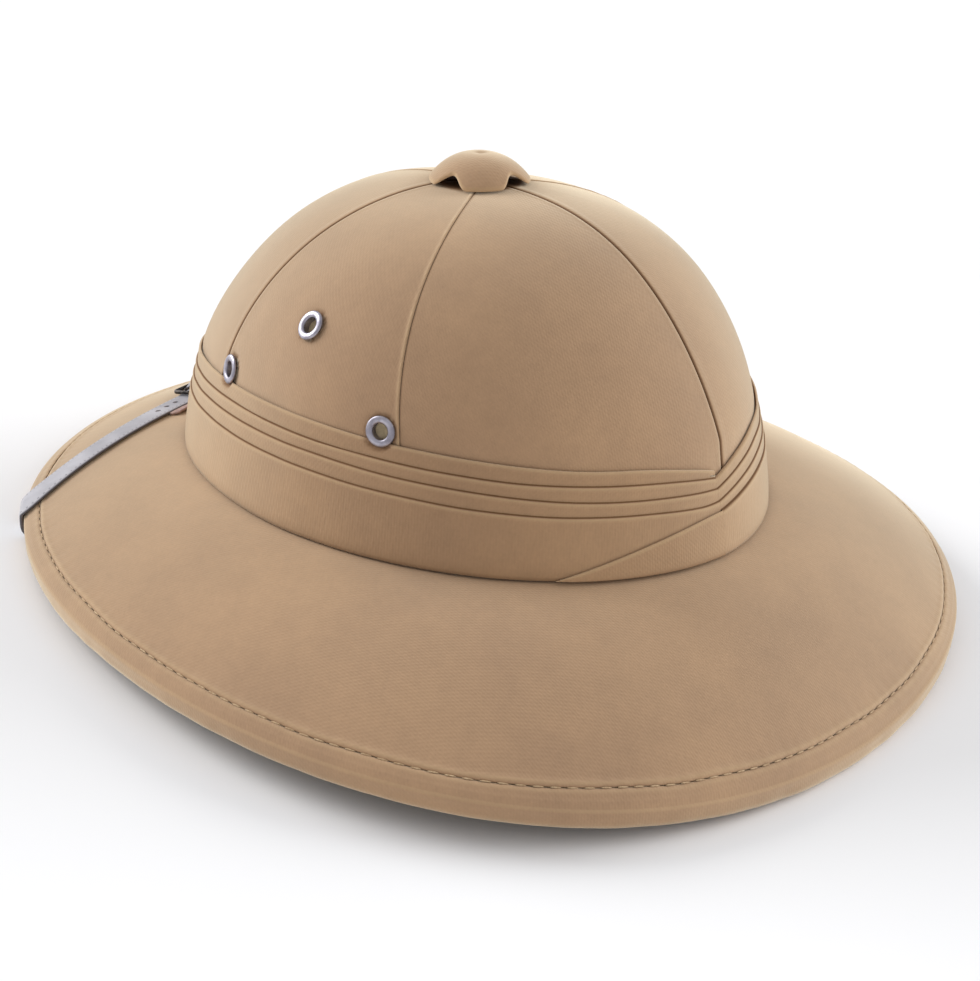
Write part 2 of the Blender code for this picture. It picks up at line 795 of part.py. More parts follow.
def build_tongue(finish, group):
    """The strap's left half, which passes under the buckle's rim and over its pivot."""
    low = GAP + STRAP / 2
    rider = low + STRAP + GAP
    over = bar_height() + chape_radius() + STRAP + GAP
    rim = BUCKLE_X + BUCKLE_LENGTH
    sections = strap_inside() + flat_run(rim + 2 * BUCKLE_WIRE, low)
    for x, height in (
        (rim - 2 * BUCKLE_WIRE, low),
        (BUCKLE_X + 2 * chape_radius(), over),
        (BUCKLE_X - CHAPE / 2, over),
        (BUCKLE_X - CHAPE - 2 * GAP, over),
        (BUCKLE_X - CHAPE - TONGUE_RAMP, rider),
        (-TAIL, rider),
    ):
        sections.append(over_brim(x, height))
    return strap_body("chin_strap_tongue", sections, finish, group)


def build_holder(finish, group):
    """The strap's right half, which is folded round the buckle's pivot."""
    low = GAP + STRAP / 2
    sections = [mirrored(section) for section in strap_inside() + flat_run(0.0, low)]
    middle, facing, across = over_brim(BUCKLE_X, bar_height())
    sections.append(over_brim(BUCKLE_X, low))
    onward = across.cross(facing).normalized()
    onward *= math.copysign(1.0, onward.x)
    for turn in CHAPE_TURNS:
        out = onward * math.cos(math.radians(turn)) + facing * math.sin(math.radians(turn))
        sections.append((middle + out * chape_radius(), -out, across))
    for x in (BUCKLE_X, BUCKLE_X - CHAPE / 2, BUCKLE_X - CHAPE):
        middle, facing, across = over_brim(x, bar_height() + chape_radius())
        sections.append((middle, -facing, across))
    return strap_body("chin_strap_buckle_side", sections, finish, group)


def build_buckle(finish, group):
    reach = STRAP_WIDTH / 2 + BUCKLE_PLAY + BUCKLE_WIRE
    corners = []
    for x, side in ((BUCKLE_X, 1), (BUCKLE_X, -1), (BUCKLE_X + BUCKLE_LENGTH, -1), (BUCKLE_X + BUCKLE_LENGTH, 1)):
        middle, _, across = over_brim(x, bar_height())
        corners.append(middle + across.normalized() * side * reach)
    points = []
    for before, corner, after in zip(corners[-1:] + corners[:-1], corners, corners[1:] + corners[:1]):
        points.append(corner + (before - corner).normalized() * BUCKLE_CORNER)
        points.append(corner + (after - corner).normalized() * BUCKLE_CORNER)
    return wire("strap_buckle", points, BUCKLE_WIRE, True, finish, group)


def prong_ends():
    height = bar_height() + BUCKLE_WIRE + GAP + PRONG
    tip = BUCKLE_X + BUCKLE_LENGTH + PRONG_OVERHANG
    return over_brim(BUCKLE_X - BUCKLE_WIRE, height)[0], over_brim(tip, height)[0]


def rivet_frame(angle):
    height = foot_height(angle) + ANCHOR_HEIGHT
    return crown_point(angle, height), -crown_normal(angle, height)


def build_rivets(finish, group):
    head = strap_depth() + STRAP / 2 + GAP
    profile = (
        (0.0, head + RIVET_HEAD_DEPTH),
        (RIVET_HEAD * 0.7, head + RIVET_HEAD_DEPTH),
        (RIVET_HEAD, head + RIVET_HEAD_DEPTH / 3),
        (RIVET_HEAD, head),
        (RIVET_SHANK, head),
        (RIVET_SHANK, INSIDE - RIVET_SEAT),
        (0.0, INSIDE - RIVET_SEAT),
    )
    for name, angle in (("left", anchor_angle()), ("right", 180 - anchor_angle())):
        turned("strap_rivet_" + name, profile, False, RIVET_STEPS, frame_at(*rivet_frame(angle)), finish, group)


def rest_pose():
    """The placement that tips the level helmet onto the strap's two turns and the back of the rim."""
    back = rim_point(BACK_SEAM, -90.0)
    front = rim_point(STRAP_EDGE_ANGLE, -90.0, RIM_RADIUS + GAP + STRAP)
    tip = math.atan2(front.z - back.z, back.y - front.y)
    turn = Matrix.Rotation(tip, 4, "X")
    rim = [(turn @ rim_point(angle, 0.0)).y for angle in all_angles()]
    lift = -(turn @ back).z - FLATTEN
    return Matrix.Translation((0.0, -(max(rim) + min(rim)) / 2, lift)) @ turn


def main():
    for item in list(bpy.data.objects):
        bpy.data.objects.remove(item, do_unlink=True)
    helmet = new_collection("pith_helmet")
    cutters = new_collection("cutters")
    cloth = new_material("khaki_cloth", (0.42, 0.30, 0.19), 0.9)
    band_cloth = new_material("band_cloth", (0.40, 0.28, 0.18), 0.9)
    felt = new_material("moulded_shell", (0.50, 0.42, 0.32), 0.95)
    nickel = new_material("nickel", (0.66, 0.64, 0.68), 0.3, 1.0)
    leather = new_material("grey_leather", (0.42, 0.41, 0.44), 0.6)
    steel = new_material("dark_steel", (0.16, 0.15, 0.16), 0.4, 1.0)

    shell = build_shell(felt, helmet)
    panels = build_panels(cloth, helmet)
    build_brim_cover(cloth, helmet)
    binding = build_binding(cloth, helmet)
    band = build_band(band_cloth, helmet)
    build_band_end(band_cloth, helmet)
    build_vent_cap(cloth, helmet)
    build_cap_post(nickel, helmet)
    build_eyelets(nickel, helmet)
    tongue = build_tongue(leather, helmet)
    holder = build_holder(leather, helmet)
    build_buckle(steel, helmet)
    wire("buckle_prong", prong_ends(), PRONG, False, steel, helmet)
    build_rivets(steel, helmet)

    holes, notches = eyelet_cutters(cutters)
    apex = Vector((0.0, APEX_SHIFT, CROWN_HEIGHT))
    post_hole = round_cutter("post_hole", POST_RADIUS + HOLE_CLEARANCE, apex, UP, 2 * INSIDE, cutters)
    cut(panels["left"], holes["left"])
    cut(panels["right"], holes["right"])
    cut(band, notches)
    cut(shell, [*holes["left"], *holes["right"], post_hole])
    for name, angle, strap in (("left", anchor_angle(), tongue), ("right", 180 - anchor_angle(), holder)):
        place, inward = rivet_frame(angle)
        reach = (strap_depth() - INSIDE + STRAP + RIVET_SEAT) / 2
        centre = place + inward * (INSIDE - RIVET_SEAT - GAP + reach)
        tool = round_cutter("rivet_hole_" + name, RIVET_SHANK + GAP, centre, inward, reach, cutters)
        cut(shell, [tool])
        cut(strap, [tool])
    heel, tip = prong_ends()
    slot = round_cutter("prong_slot", PRONG + HOLE_CLEARANCE, (heel + tip) / 2, (tip - heel).normalized(),
                        (tip - heel).length / 2 + BUCKLE_WIRE, cutters)
    cut(tongue, [slot])
    cut(holder, [slot])
    for number, x in enumerate(PUNCHES):
        middle, facing, _ = over_brim(x, GAP + STRAP / 2)
        cut(tongue, [round_cutter("punch_" + str(number + 1), PUNCH_RADIUS, middle, facing, 2 * STRAP, cutters, 10)])

    rest = rest_pose()
    for item in [*helmet.objects, *cutters.objects]:
        item.matrix_basis = rest @ item.matrix_basis
    bm = bmesh.new()
    bmesh.ops.create_cube(bm, size=FLOOR)
    floor = new_cutter("floor", bm, Matrix.Translation((0.0, 0.0, -FLOOR / 2)), cutters)
    for item in (binding, tongue, holder):
        cut(item, [floor])


main()
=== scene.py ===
"""Looks of the pith helmet: cotton over a pressed shell, a pleated band, eyelets and a leather strap.

Lengths are in metres and angles in degrees. Each piece is drawn on the level helmet, with the wearer's left
at +X and the back at +Y, and its mesh is then tipped to the way the helmet rests.
"""

import math

import bmesh
import bpy
from mathutils import Matrix, Vector, noise


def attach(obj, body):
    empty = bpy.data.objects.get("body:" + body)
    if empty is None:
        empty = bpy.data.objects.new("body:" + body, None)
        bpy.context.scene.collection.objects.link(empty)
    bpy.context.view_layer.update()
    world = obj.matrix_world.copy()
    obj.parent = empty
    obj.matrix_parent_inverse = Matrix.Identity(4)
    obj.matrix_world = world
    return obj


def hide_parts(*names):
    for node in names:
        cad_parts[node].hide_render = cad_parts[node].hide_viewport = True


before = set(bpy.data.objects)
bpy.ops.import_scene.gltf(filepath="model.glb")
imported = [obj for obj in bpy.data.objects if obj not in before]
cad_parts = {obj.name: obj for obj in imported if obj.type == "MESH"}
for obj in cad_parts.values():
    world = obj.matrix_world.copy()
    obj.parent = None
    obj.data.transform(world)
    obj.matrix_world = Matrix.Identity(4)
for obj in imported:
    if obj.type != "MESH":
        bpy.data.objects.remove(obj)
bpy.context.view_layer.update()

# Shell: the stiff body of crown and brim, pressed from plant fibre in one piece. All of the cloth is
# stretched over it and sewn to its edge. It shows from below and through the eyelets.

CROWN_HALF_WIDTH = 0.0920
CROWN_HALF_LENGTH = 0.1124
CROWN_HEIGHT = 0.1019
WALL_HEIGHT = 0.0343
WALL_TAPER = 0.05
CROWN_EGG = 0.108
CROWN_SQUARENESS = 1.891
APEX_SHIFT = 0.0047
DOME_SIDE_POWERS = (2.149, 2.019)
DOME_END_POWERS = (1.085, 2.702)
BRIM_HALF_WIDTH = 0.1620
BRIM_HALF_LENGTH = 0.1686
BRIM_SHIFT_BACK = 0.0100
BRIM_EGG = 0.089
BRIM_SQUARENESS = 1.964
BRIM_CORNER_FULLNESS = 0.020
BRIM_DROP_SIDE = 0.0230
BRIM_DROP_FRONT = 0.0129
BRIM_DROP_BACK = 0.0463
BRIM_DROP_EASE = 0.13
BRIM_CORNER_RISE = 0.0005
BRIM_DOMING = 0.702
CLOTH = 0.0012
SHELL = 0.0030
GAP = 0.0003
UNDER_CLOTH = CLOTH + GAP
INSIDE = UNDER_CLOTH + SHELL
RIM_RADIUS = 0.0030
LIP = 0.0044
STRAP = 0.0014
STRAP_EDGE_ANGLE = -42.3
REST_GIVE = 0.0004
UP = Vector((0.0, 0.0, 1.0))


def signed_power(value, exponent):
    return math.copysign(abs(value) ** exponent, value)


def arch(share, powers):
    return (1 - share ** powers[0]) ** (1 / powers[1])


def wave(angle, tip, side_rise):
    turn = math.radians(angle)
    return tip * math.sin(turn) + side_rise * math.cos(2 * turn)


def foot_height(angle):
    """Where the crown's wall meets the brim."""
    return wave(angle, 0.00085, 0.0024)


def crown_size(height):
    """Half width, half length and shift back of the crown's outline at this height."""
    taper = 1 - WALL_TAPER * min(height / WALL_HEIGHT, 1.0)
    rise = min(max((height - WALL_HEIGHT) / (CROWN_HEIGHT - WALL_HEIGHT), 0.0), 1.0)
    wide = CROWN_HALF_WIDTH * taper * arch(rise, DOME_SIDE_POWERS)
    long = CROWN_HALF_LENGTH * taper * arch(rise, DOME_END_POWERS)
    return wide, long, APEX_SHIFT * rise


def crown_surface(angle, height):
    turn = math.radians(angle)
    bend = 2 / CROWN_SQUARENESS
    wide, long, back = crown_size(height)
    x = wide * (1 + CROWN_EGG * math.sin(turn)) * signed_power(math.cos(turn), bend)
    y = long * signed_power(math.sin(turn), bend) + back
    return Vector((x, y, height))


def surface_normal(surface, angle, along, reach):
    across = surface(angle + 0.25, along) - surface(angle - 0.25, along)
    onward = surface(angle, along + reach) - surface(angle, along - reach)
    return across.cross(onward).normalized()


def crown_normal(angle, height):
    return surface_normal(crown_surface, angle, height, 0.00005)


def crown_point(angle, height, out=0.0):
    return crown_surface(angle, height) + crown_normal(angle, height) * out


def foot_point(angle):
    return crown_surface(angle, foot_height(angle))


def foot_corner(angle, depth):
    outward = crown_normal(angle, foot_height(angle))
    outward.z = 0.0
    return foot_point(angle) - (outward.normalized() + UP) * depth


def edge_point(angle):
    """The outermost line of the brim, at the top of its bound edge."""
    turn = math.radians(angle)
    bend = 2 / BRIM_SQUARENESS
    fullness = 1 - BRIM_CORNER_FULLNESS * math.cos(4 * turn)
    x = BRIM_HALF_WIDTH * signed_power(math.cos(turn), bend) * (1 + BRIM_EGG * math.sin(turn))
    y = BRIM_SHIFT_BACK + BRIM_HALF_LENGTH * signed_power(math.sin(turn), bend)
    mean = (BRIM_DROP_BACK + BRIM_DROP_FRONT) / 2
    swing = (BRIM_DROP_BACK - BRIM_DROP_FRONT) / 2
    drop = BRIM_DROP_SIDE + (mean - BRIM_DROP_SIDE) * math.sin(turn) ** 2
    drop += swing * ((1 - BRIM_DROP_EASE) * math.sin(turn) - BRIM_DROP_EASE * math.sin(3 * turn))
    drop -= BRIM_CORNER_RISE * math.sin(2 * turn) ** 2
    return Vector((x * fullness, y * fullness, -drop))


def edge_tangent(angle):
    return (edge_point(angle + 0.25) - edge_point(angle - 0.25)).normalized()


def edge_outward(angle):
    return edge_tangent(angle).cross(UP).normalized()


def brim_surface(angle, share):
    """A point on the brim's cloth, from the crown's foot at 0 to the edge at 1."""
    foot = foot_point(angle)
    edge = edge_point(angle)
    point = foot.lerp(edge, share)
    point.z = foot.z + (edge.z - foot.z) * share * (1 - BRIM_DOMING * (1 - share))
    return point


def brim_normal(angle, share):
    return -surface_normal(brim_surface, angle, share, 0.002)


def brim_point(angle, share, out=0.0):
    return brim_surface(angle, share) + brim_normal(angle, share) * out


def share_from_edge(angle, distance):
    return 1 - distance / (edge_point(angle) - foot_point(angle)).length


def leaning(outward, turn):
    """The direction that leans from outward, at 0, up or down by this turn."""
    return outward * math.cos(math.radians(turn)) + UP * math.sin(math.radians(turn))


def rim_centre(angle):
    return edge_point(angle) - edge_outward(angle) * RIM_RADIUS - UP * LIP


def rim_point(angle, turn, radius=RIM_RADIUS):
    return rim_centre(angle) + leaning(edge_outward(angle), turn) * radius


def spread(first, last, count):
    return [first + (last - first) * i / count for i in range(count + 1)]


def resting():
    """The placement that tips the level helmet onto the strap's two turns and the back of its edge."""
    back = rim_point(92.3, -90.0)
    front = rim_point(STRAP_EDGE_ANGLE, -90.0, RIM_RADIUS + GAP + STRAP)
    turn = Matrix.Rotation(math.atan2(front.z - back.z, back.y - front.y), 4, "X")
    lift = -(turn @ back).z - REST_GIVE
    ends = [(turn @ rim_point(angle, 0.0)).y for angle in spread(0.0, 359.0, 359)]
    return Matrix.Translation((0.0, -(max(ends) + min(ends)) / 2, lift)) @ turn


REST = resting()


def bump_at(point, size, seed=0.0):
    """A smooth unevenness between about -1 and 1, whose swells are this many metres across."""
    return noise.noise(point / size + Vector((seed, seed, seed)))


def press(point):
    """Flattens what would reach under the surface that the helmet rests on."""
    settled = REST @ point
    settled.z = max(settled.z, 0.0)
    return settled


def add_piece(name, bm, finish, slot, *nodes):
    """Makes a piece that rides on the helmet and stands for these CAD nodes."""
    mesh = bpy.data.meshes.new(name)
    bm.to_mesh(mesh)
    bm.free()
    mesh.materials.append(finish)
    mesh.shade_smooth()
    made = bpy.data.objects.new(name, mesh)
    bpy.context.scene.collection.objects.link(made)
    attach(made, "root")
    if nodes:
        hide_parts(*nodes)
    return made


def drawn_grid(columns, rows, place):
    """A grid whose place(column, row) gives each point, its cloth coordinates and its mark from -1 to 1,
    which is painted shading on the cloth and the cut edge on the strap.
    """
    bm = bmesh.new()
    bmesh.ops.create_grid(bm, x_segments=len(columns) - 1, y_segments=len(rows) - 1, size=0.5)
    painted_shading_and_cut_edge = bm.verts.layers.float.new("painted_shading_and_cut_edge")
    cloth_map = bm.loops.layers.uv.new("UVMap")
    for vert in bm.verts:
        column = columns[round((vert.co.x + 0.5) * (len(columns) - 1))]
        row = rows[round((vert.co.y + 0.5) * (len(rows) - 1))]
        point, flat, vert[painted_shading_and_cut_edge] = place(column, row)
        for loop in vert.link_loops:
            loop[cloth_map].uv = flat
        vert.co = press(point)
    return bm


def back_with(piece, thickness):
    wall = piece.modifiers.new("wall", "SOLIDIFY")
    wall.thickness = thickness
    wall.offset = -1.0
    wall.use_even_offset = True


def linear(code):
    """The linear colour of an sRGB hex code."""
    parts = [int(code[i:i + 2], 16) / 255 for i in (1, 3, 5)]
    return (*[part / 12.92 if part <= 0.04045 else ((part + 0.055) / 1.055) ** 2.4 for part in parts], 1.0)


def new_finish(name, colour, roughness, metallic=0.0):
    made = bpy.data.materials.new(name)
    made.use_nodes = True
    shader = made.node_tree.nodes["Principled BSDF"]
    shader.inputs["Base Color"].default_value = linear(colour)
    shader.inputs["Roughness"].default_value = roughness
    shader.inputs["Metallic"].default_value = metallic
    return made, shader


def add_node(finish, kind, inputs, output=0, **settings):
    """Adds a node, joins or sets its inputs by name or number, and gives one of its outputs."""
    node = finish.node_tree.nodes.new("ShaderNode" + kind)
    for key, value in settings.items():
        setattr(node, key, value)
    for key, value in inputs.items():
        if isinstance(value, bpy.types.NodeSocket):
            finish.node_tree.links.new(value, node.inputs[key])
        else:
            node.inputs[key].default_value = value
    return node.outputs[output]


def mixed(finish, share, first, second, blend="MIX"):
    return add_node(finish, "Mix", {0: share, 6: first, 7: second}, 2, data_type="RGBA", blend_type=blend)


def ranged(finish, value, low, high, to_low, to_high):
    return add_node(finish, "MapRange", {0: value, 1: low, 2: high, 3: to_low, 4: to_high})


def set_bump(finish, shader, height, depth, strength=1.0):
    raised = add_node(finish, "Bump", {"Height": height, "Distance": depth, "Strength": strength})
    finish.node_tree.links.new(raised, shader.inputs["Normal"])


def pressed_fibre():
    """Pressed plant fibre, pale and blotched, with short strands lying every way in its face."""
    finish, shader = new_finish("pressed_plant_fibre", "#b9a684", 0.95)
    where = add_node(finish, "TexCoord", {}, "Object")
    blotch = add_node(finish, "TexNoise", {"Vector": where, "Scale": 45.0, "Detail": 5.0})
    strands = add_node(finish, "TexVoronoi", {"Vector": where, "Scale": 420.0}, feature="DISTANCE_TO_EDGE")
    tone = mixed(finish, ranged(finish, blotch, 0.35, 0.65, 0.0, 1.0), linear("#b19d7a"), linear("#bfac89"))
    fibre = ranged(finish, strands, 0.0, 0.25, 0.82, 1.0)
    tint = add_node(finish, "CombineColor", {0: fibre, 1: fibre, 2: fibre})
    colour = mixed(finish, 1.0, tone, tint, "MULTIPLY")
    finish.node_tree.links.new(colour, shader.inputs["Base Color"])
    set_bump(finish, shader, strands, 0.0003, 0.6)
    return finish


def shell_place(angle, row):
    if row <= 1:
        share = share_from_edge(angle, CLOTH + 2 * GAP) * (1 - row)
        point = brim_point(angle, share, -UNDER_CLOTH)
    elif row == 2:
        point = foot_corner(angle, UNDER_CLOTH)
    elif row <= 4:
        foot = foot_height(angle)
        point = crown_point(angle, foot + (WALL_HEIGHT - foot) * (row - 3), -UNDER_CLOTH)
    else:
        rise = min(math.sin(math.radians(90 * (row - 4))), 0.9985)
        point = crown_point(angle, WALL_HEIGHT + (CROWN_HEIGHT - WALL_HEIGHT) * rise, -UNDER_CLOTH)
    return point, (point.x, point.y), 0.0


shell_rows = [*spread(0.0, 1.0, 14), 2, *spread(3.0, 4.0, 7), *spread(4.0, 5.0, 22)[1:]]
shell_mesh = drawn_grid(spread(0.0, 360.0, 240), shell_rows, shell_place)
bmesh.ops.remove_doubles(shell_mesh, verts=shell_mesh.verts, dist=0.00001)
shell = add_piece("pressed_shell", shell_mesh, pressed_fibre(), "moulded_shell", "shell")
back_with(shell, SHELL)

# Brim cover: cotton drill over the top of the brim, drawn tight from the crown's foot to the stitched
# hem. It stands up in a low welt beside the stitches, which pull it into small puckers.

HEM = 0.0055
HEM_GAP = 0.00009
STITCH_COUNT = 208
EDGE_MEAN_RADIUS = 0.1655
COTTON = "#aa896b"


def hem_at(angle):
    """The stitched line's distance from the edge, which wanders a little as it was sewn."""
    return HEM + 0.00045 * bump_at(edge_point(angle), 0.022, 5.0)


def along_edge(angle):
    return math.radians(angle) * EDGE_MEAN_RADIUS


def ridge(distance, middle, width):
    """A smooth ridge, 1 high at its middle and this wide to each side."""
    return math.exp(-((distance - middle) / width) ** 2)


def pucker(angle, distance, reach):
    """The pull of the stitches, strongest at the stitched line and gone at this reach from it."""
    fade = max(1 - distance / reach, 0.0) ** 2
    beat = math.sin(math.radians(angle) * STITCH_COUNT)
    return fade * (0.00007 * beat + 0.00020 * bump_at(edge_point(angle), 0.0085, 2.0))


def cotton_drill(name, lighter, darker):
    """Plain khaki cotton drill: matt, finely ribbed and mottled, with painted shade in its folds and a
    painted highlight on raised edges.
    """
    finish, shader = new_finish(name, COTTON, 0.88)
    shader.inputs["Sheen Roughness"].default_value = 0.48
    shader.inputs["Sheen Tint"].default_value = linear("#fff7dd")
    shader.inputs["Specular IOR Level"].default_value = 0.25
    where = add_node(finish, "TexCoord", {}, "Object")
    flat = add_node(finish, "TexCoord", {}, "UV")
    painted_shading_and_cut_edge = add_node(finish, "Attribute", {}, "Fac", attribute_name="painted_shading_and_cut_edge")
    # Real drill has about 20 ribs a centimetre, too fine to see here, so its ribs are drawn 0.8 mm apart
    rib = add_node(finish, "TexWave", {"Vector": flat, "Scale": 392.7, "Distortion": 0.8, "Detail": 1.0},
                   bands_direction="DIAGONAL")
    thread = add_node(finish, "TexWave", {"Vector": flat, "Scale": 349.1, "Distortion": 1.2, "Detail": 1.0},
                      bands_direction="X")
    weave = add_node(finish, "Math", {0: rib, 1: thread}, operation="ADD")
    grain = add_node(finish, "TexNoise", {"Vector": where, "Scale": 950.0, "Detail": 3.0})
    blotch = add_node(finish, "TexNoise", {"Vector": where, "Scale": 16.0, "Detail": 6.0, "Roughness": 0.6})
    fleck = add_node(finish, "TexNoise", {"Vector": where, "Scale": 190.0, "Detail": 4.0, "Roughness": 0.7})
    tone = mixed(finish, ranged(finish, blotch, 0.3, 0.7, 0.0, 1.0), linear(darker), linear(lighter))
    weave_shade = ranged(finish, weave, 0.0, 2.0, 0.975, 1.015)
    grain_shade = ranged(finish, grain, 0.25, 0.75, 0.96, 1.04)
    fleck_shade = ranged(finish, fleck, 0.3, 0.7, 0.965, 1.035)
    shade = add_node(finish, "Math", {0: weave_shade, 1: grain_shade}, operation="MULTIPLY")
    shade = add_node(finish, "Math", {0: shade, 1: fleck_shade}, operation="MULTIPLY")
    tint = add_node(finish, "CombineColor", {0: shade, 1: shade, 2: shade})
    colour = mixed(finish, 1.0, tone, tint, "MULTIPLY")
    # Painted highlight where the mark is above 0, on raised edges and rolls, and painted shade where it is
    # below 0, in folds, grooves and under the vent cap.
    colour = mixed(finish, ranged(finish, painted_shading_and_cut_edge, 0.0, 1.0, 0.0, 0.6), colour, linear("#d2b489"))
    colour = mixed(finish, ranged(finish, painted_shading_and_cut_edge, 0.0, -1.0, 0.0, 0.92), colour, linear("#573617"))
    finish.node_tree.links.new(colour, shader.inputs["Base Color"])
    finish.node_tree.links.new(ranged(finish, painted_shading_and_cut_edge, 0.0, -0.5, 0.85, 0.0), shader.inputs["Sheen Weight"])
    low_weave = add_node(finish, "Math", {0: weave, 1: 0.35}, operation="MULTIPLY")
    height = add_node(finish, "Math", {0: low_weave, 1: grain}, operation="ADD")
    set_bump(finish, shader, height, 0.00009, 0.55)
    return finish


def cover_place(angle, row):
    """A point of the brim cover, this share of the way in from the stitched line to the crown."""
    whole = (edge_point(angle) - foot_point(angle)).length
    outer = 1 - (hem_at(angle) + HEM_GAP) / whole
    inner = GAP / whole
    share = outer + (inner - outer) * row
    distance = (outer - share) * whole
    from_crown = (share - inner) * whole
    out = 0.00026 * ridge(distance, 0.0012, 0.0008) - 0.00026 * ridge(distance, 0.0, 0.0004)
    out += pucker(angle, distance, 0.0110)
    spot = brim_surface(angle, share)
    out += 0.00028 * bump_at(spot, 0.034, 1.0) * min(from_crown / 0.010, 1.0)
    # Painted highlight on the welt beside the stitches, and painted shade along the stitched line and at the
    # crown's foot.
    painted_shading_and_cut_edge = 0.40 * ridge(distance, 0.0010, 0.0006) - 0.24 * ridge(distance, 0.0, 0.0004)
    painted_shading_and_cut_edge -= 0.2 * ridge(from_crown, 0.0, 0.0034)
    point = spot + brim_normal(angle, share) * out
    return point, (spot.x, spot.y), painted_shading_and_cut_edge


khaki_drill = cotton_drill("khaki_cotton_drill", "#b5916f", "#a28164")
cover_rows = [0.0, 0.004, 0.008, 0.0125, 0.018, 0.025, 0.034, 0.046, 0.060, *spread(0.08, 1.0, 34)]
cover_mesh = drawn_grid(spread(0.0, 360.0, 720), cover_rows, cover_place)
bmesh.ops.remove_doubles(cover_mesh, verts=cover_mesh.verts, dist=0.00001)
cover = add_piece("brim_cover_cloth", cover_mesh, khaki_drill, "khaki_cloth", "brim_cover")
back_with(cover, CLOTH)

# Brim binding: the same cotton, turned over the shell's edge and in under it. One row of stitches holds
# its top edge, and its rolled bottom is full and slightly scalloped.

HEM_UNDER = 0.0070
RIM_CORNER = 0.0015


def binding_place(angle, row):
    """A point of the binding: to 1 under the brim, 2 round the roll, 3 up the lip, 4 over it, 5 in."""
    outward = edge_outward(angle)
    start = brim_point(angle, share_from_edge(angle, HEM_UNDER), -(INSIDE + GAP + CLOTH))
    corner = edge_point(angle) - (outward + UP) * RIM_CORNER
    painted_shading_and_cut_edge = 0.0
    if row < 1:
        point = start.lerp(rim_point(angle, -160.0), row)
        travel = row * 0.0035
    elif row <= 2:
        turn = -160.0 * (2 - row)
        point = rim_point(angle, turn)
        travel = 0.0035 + (row - 1) * 0.0084
    elif row < 3:
        point = rim_point(angle, 0.0).lerp(corner + outward * RIM_CORNER, row - 2)
        travel = 0.0119 + (row - 2) * 0.0029
    elif row <= 4:
        point = corner + leaning(outward, 64.0 * (row - 3)) * RIM_CORNER
        travel = 0.0148 + (row - 3) * 0.0017
        # Painted highlight on the rounded corner over the lip.
        painted_shading_and_cut_edge = 0.35 * math.sin(math.pi * (row - 3))
    else:
        last = hem_at(angle) - HEM_GAP
        distance = 0.0013 + (last - 0.0013) * (row - 4)
        to_line = last - distance
        out = pucker(angle, to_line, 0.0042) - 0.00025 * ridge(to_line, 0.0, 0.00035)
        out += 0.00016 * ridge(to_line, 0.0012, 0.0008)
        point = brim_point(angle, share_from_edge(angle, distance), out)
        travel = 0.0165 + (row - 4) * 0.0042
        # Painted highlight on the welt and painted shade along the stitched line.
        painted_shading_and_cut_edge = 0.30 * ridge(to_line, 0.0010, 0.0006) - 0.24 * ridge(to_line, 0.0, 0.00035)
    if 1 <= row < 3:
        spot = edge_point(angle) + UP * 0.006 * row
        swell = 0.6 * bump_at(spot, 0.0085, 3.0) + 0.6 * bump_at(spot, 0.026, 4.0)
        point = point + outward * 0.00042 * (swell - 0.25) * math.sin(math.pi * (row - 1) / 2)
        if row < 2:
            # A painted highlight of uneven strength on the underside of the rolled bottom makes it paler.
            highlight_wander = 0.75 + 0.5 * bump_at(spot, 0.012, 6.0)
            painted_shading_and_cut_edge = 0.4 * max(math.sin(math.pi * (row - 1.15) / 0.85), 0.0) * highlight_wander
    return point, (along_edge(angle), travel), painted_shading_and_cut_edge


binding_rows = [0.0, 0.5, *spread(1.0, 2.0, 10), 2.35, 2.7, *spread(3.0, 4.0, 4)]
binding_rows += [*spread(4.0, 4.75, 6)[1:], 4.83, 4.9, 4.95, 5.0]
binding_mesh = drawn_grid(spread(0.0, 360.0, 840), binding_rows, binding_place)
bmesh.ops.remove_doubles(binding_mesh, verts=binding_mesh.verts, dist=0.00001)
binding = add_piece("brim_binding_cloth", binding_mesh, khaki_drill, "khaki_cloth", "brim_binding")
back_with(binding, CLOTH)

# Brim stitches: one row of lockstitch in pale thread all round the edge, each stitch pulled down at both
# of its ends into the joint between the cover and the binding.

STITCH_LENGTH = 0.0034
THREAD = 0.00022


def waxed_thread():
    """Pale buff sewing thread, tightly twisted, a little paler than the cloth."""
    finish, shader = new_finish("pale_buff_thread", "#c8ab84", 0.7)
    where = add_node(finish, "TexCoord", {}, "Object")
    twist = add_node(finish, "TexNoise", {"Vector": where, "Scale": 1300.0, "Detail": 2.0})
    tone = mixed(finish, ranged(finish, twist, 0.3, 0.7, 0.0, 1.0), linear("#ab8c68"), linear("#cdb28d"))
    finish.node_tree.links.new(tone, shader.inputs["Base Color"])
    set_bump(finish, shader, twist, 0.0001, 0.5)
    return finish


stitch_mesh = bmesh.new()
for number in range(STITCH_COUNT):
    angle = 360.0 * number / STITCH_COUNT
    middle = brim_point(angle, share_from_edge(angle, hem_at(angle)), -0.00006)
    along = (edge_tangent(angle) + UP * 0.02 * bump_at(middle, 0.004)).normalized()
    facing = brim_normal(angle, 0.95)
    across = along.cross(facing).normalized()
    turned_to = Matrix((along, across, across.cross(along))).transposed().to_4x4()
    size = Matrix.Diagonal((STITCH_LENGTH / 2, THREAD * 1.15, THREAD, 1.0))
    spot = REST @ Matrix.Translation(middle) @ turned_to @ size
    bmesh.ops.create_uvsphere(stitch_mesh, u_segments=10, v_segments=8, radius=1.0, matrix=spot)
add_piece("brim_stitches", stitch_mesh, waxed_thread(), "khaki_cloth")

# Crown panels: six gores of the same cotton, seamed from the cap down to the brim behind the band. Their
# seams lie in fine grooves, and the seam behind each side's eyelets stands up as a narrow welt.

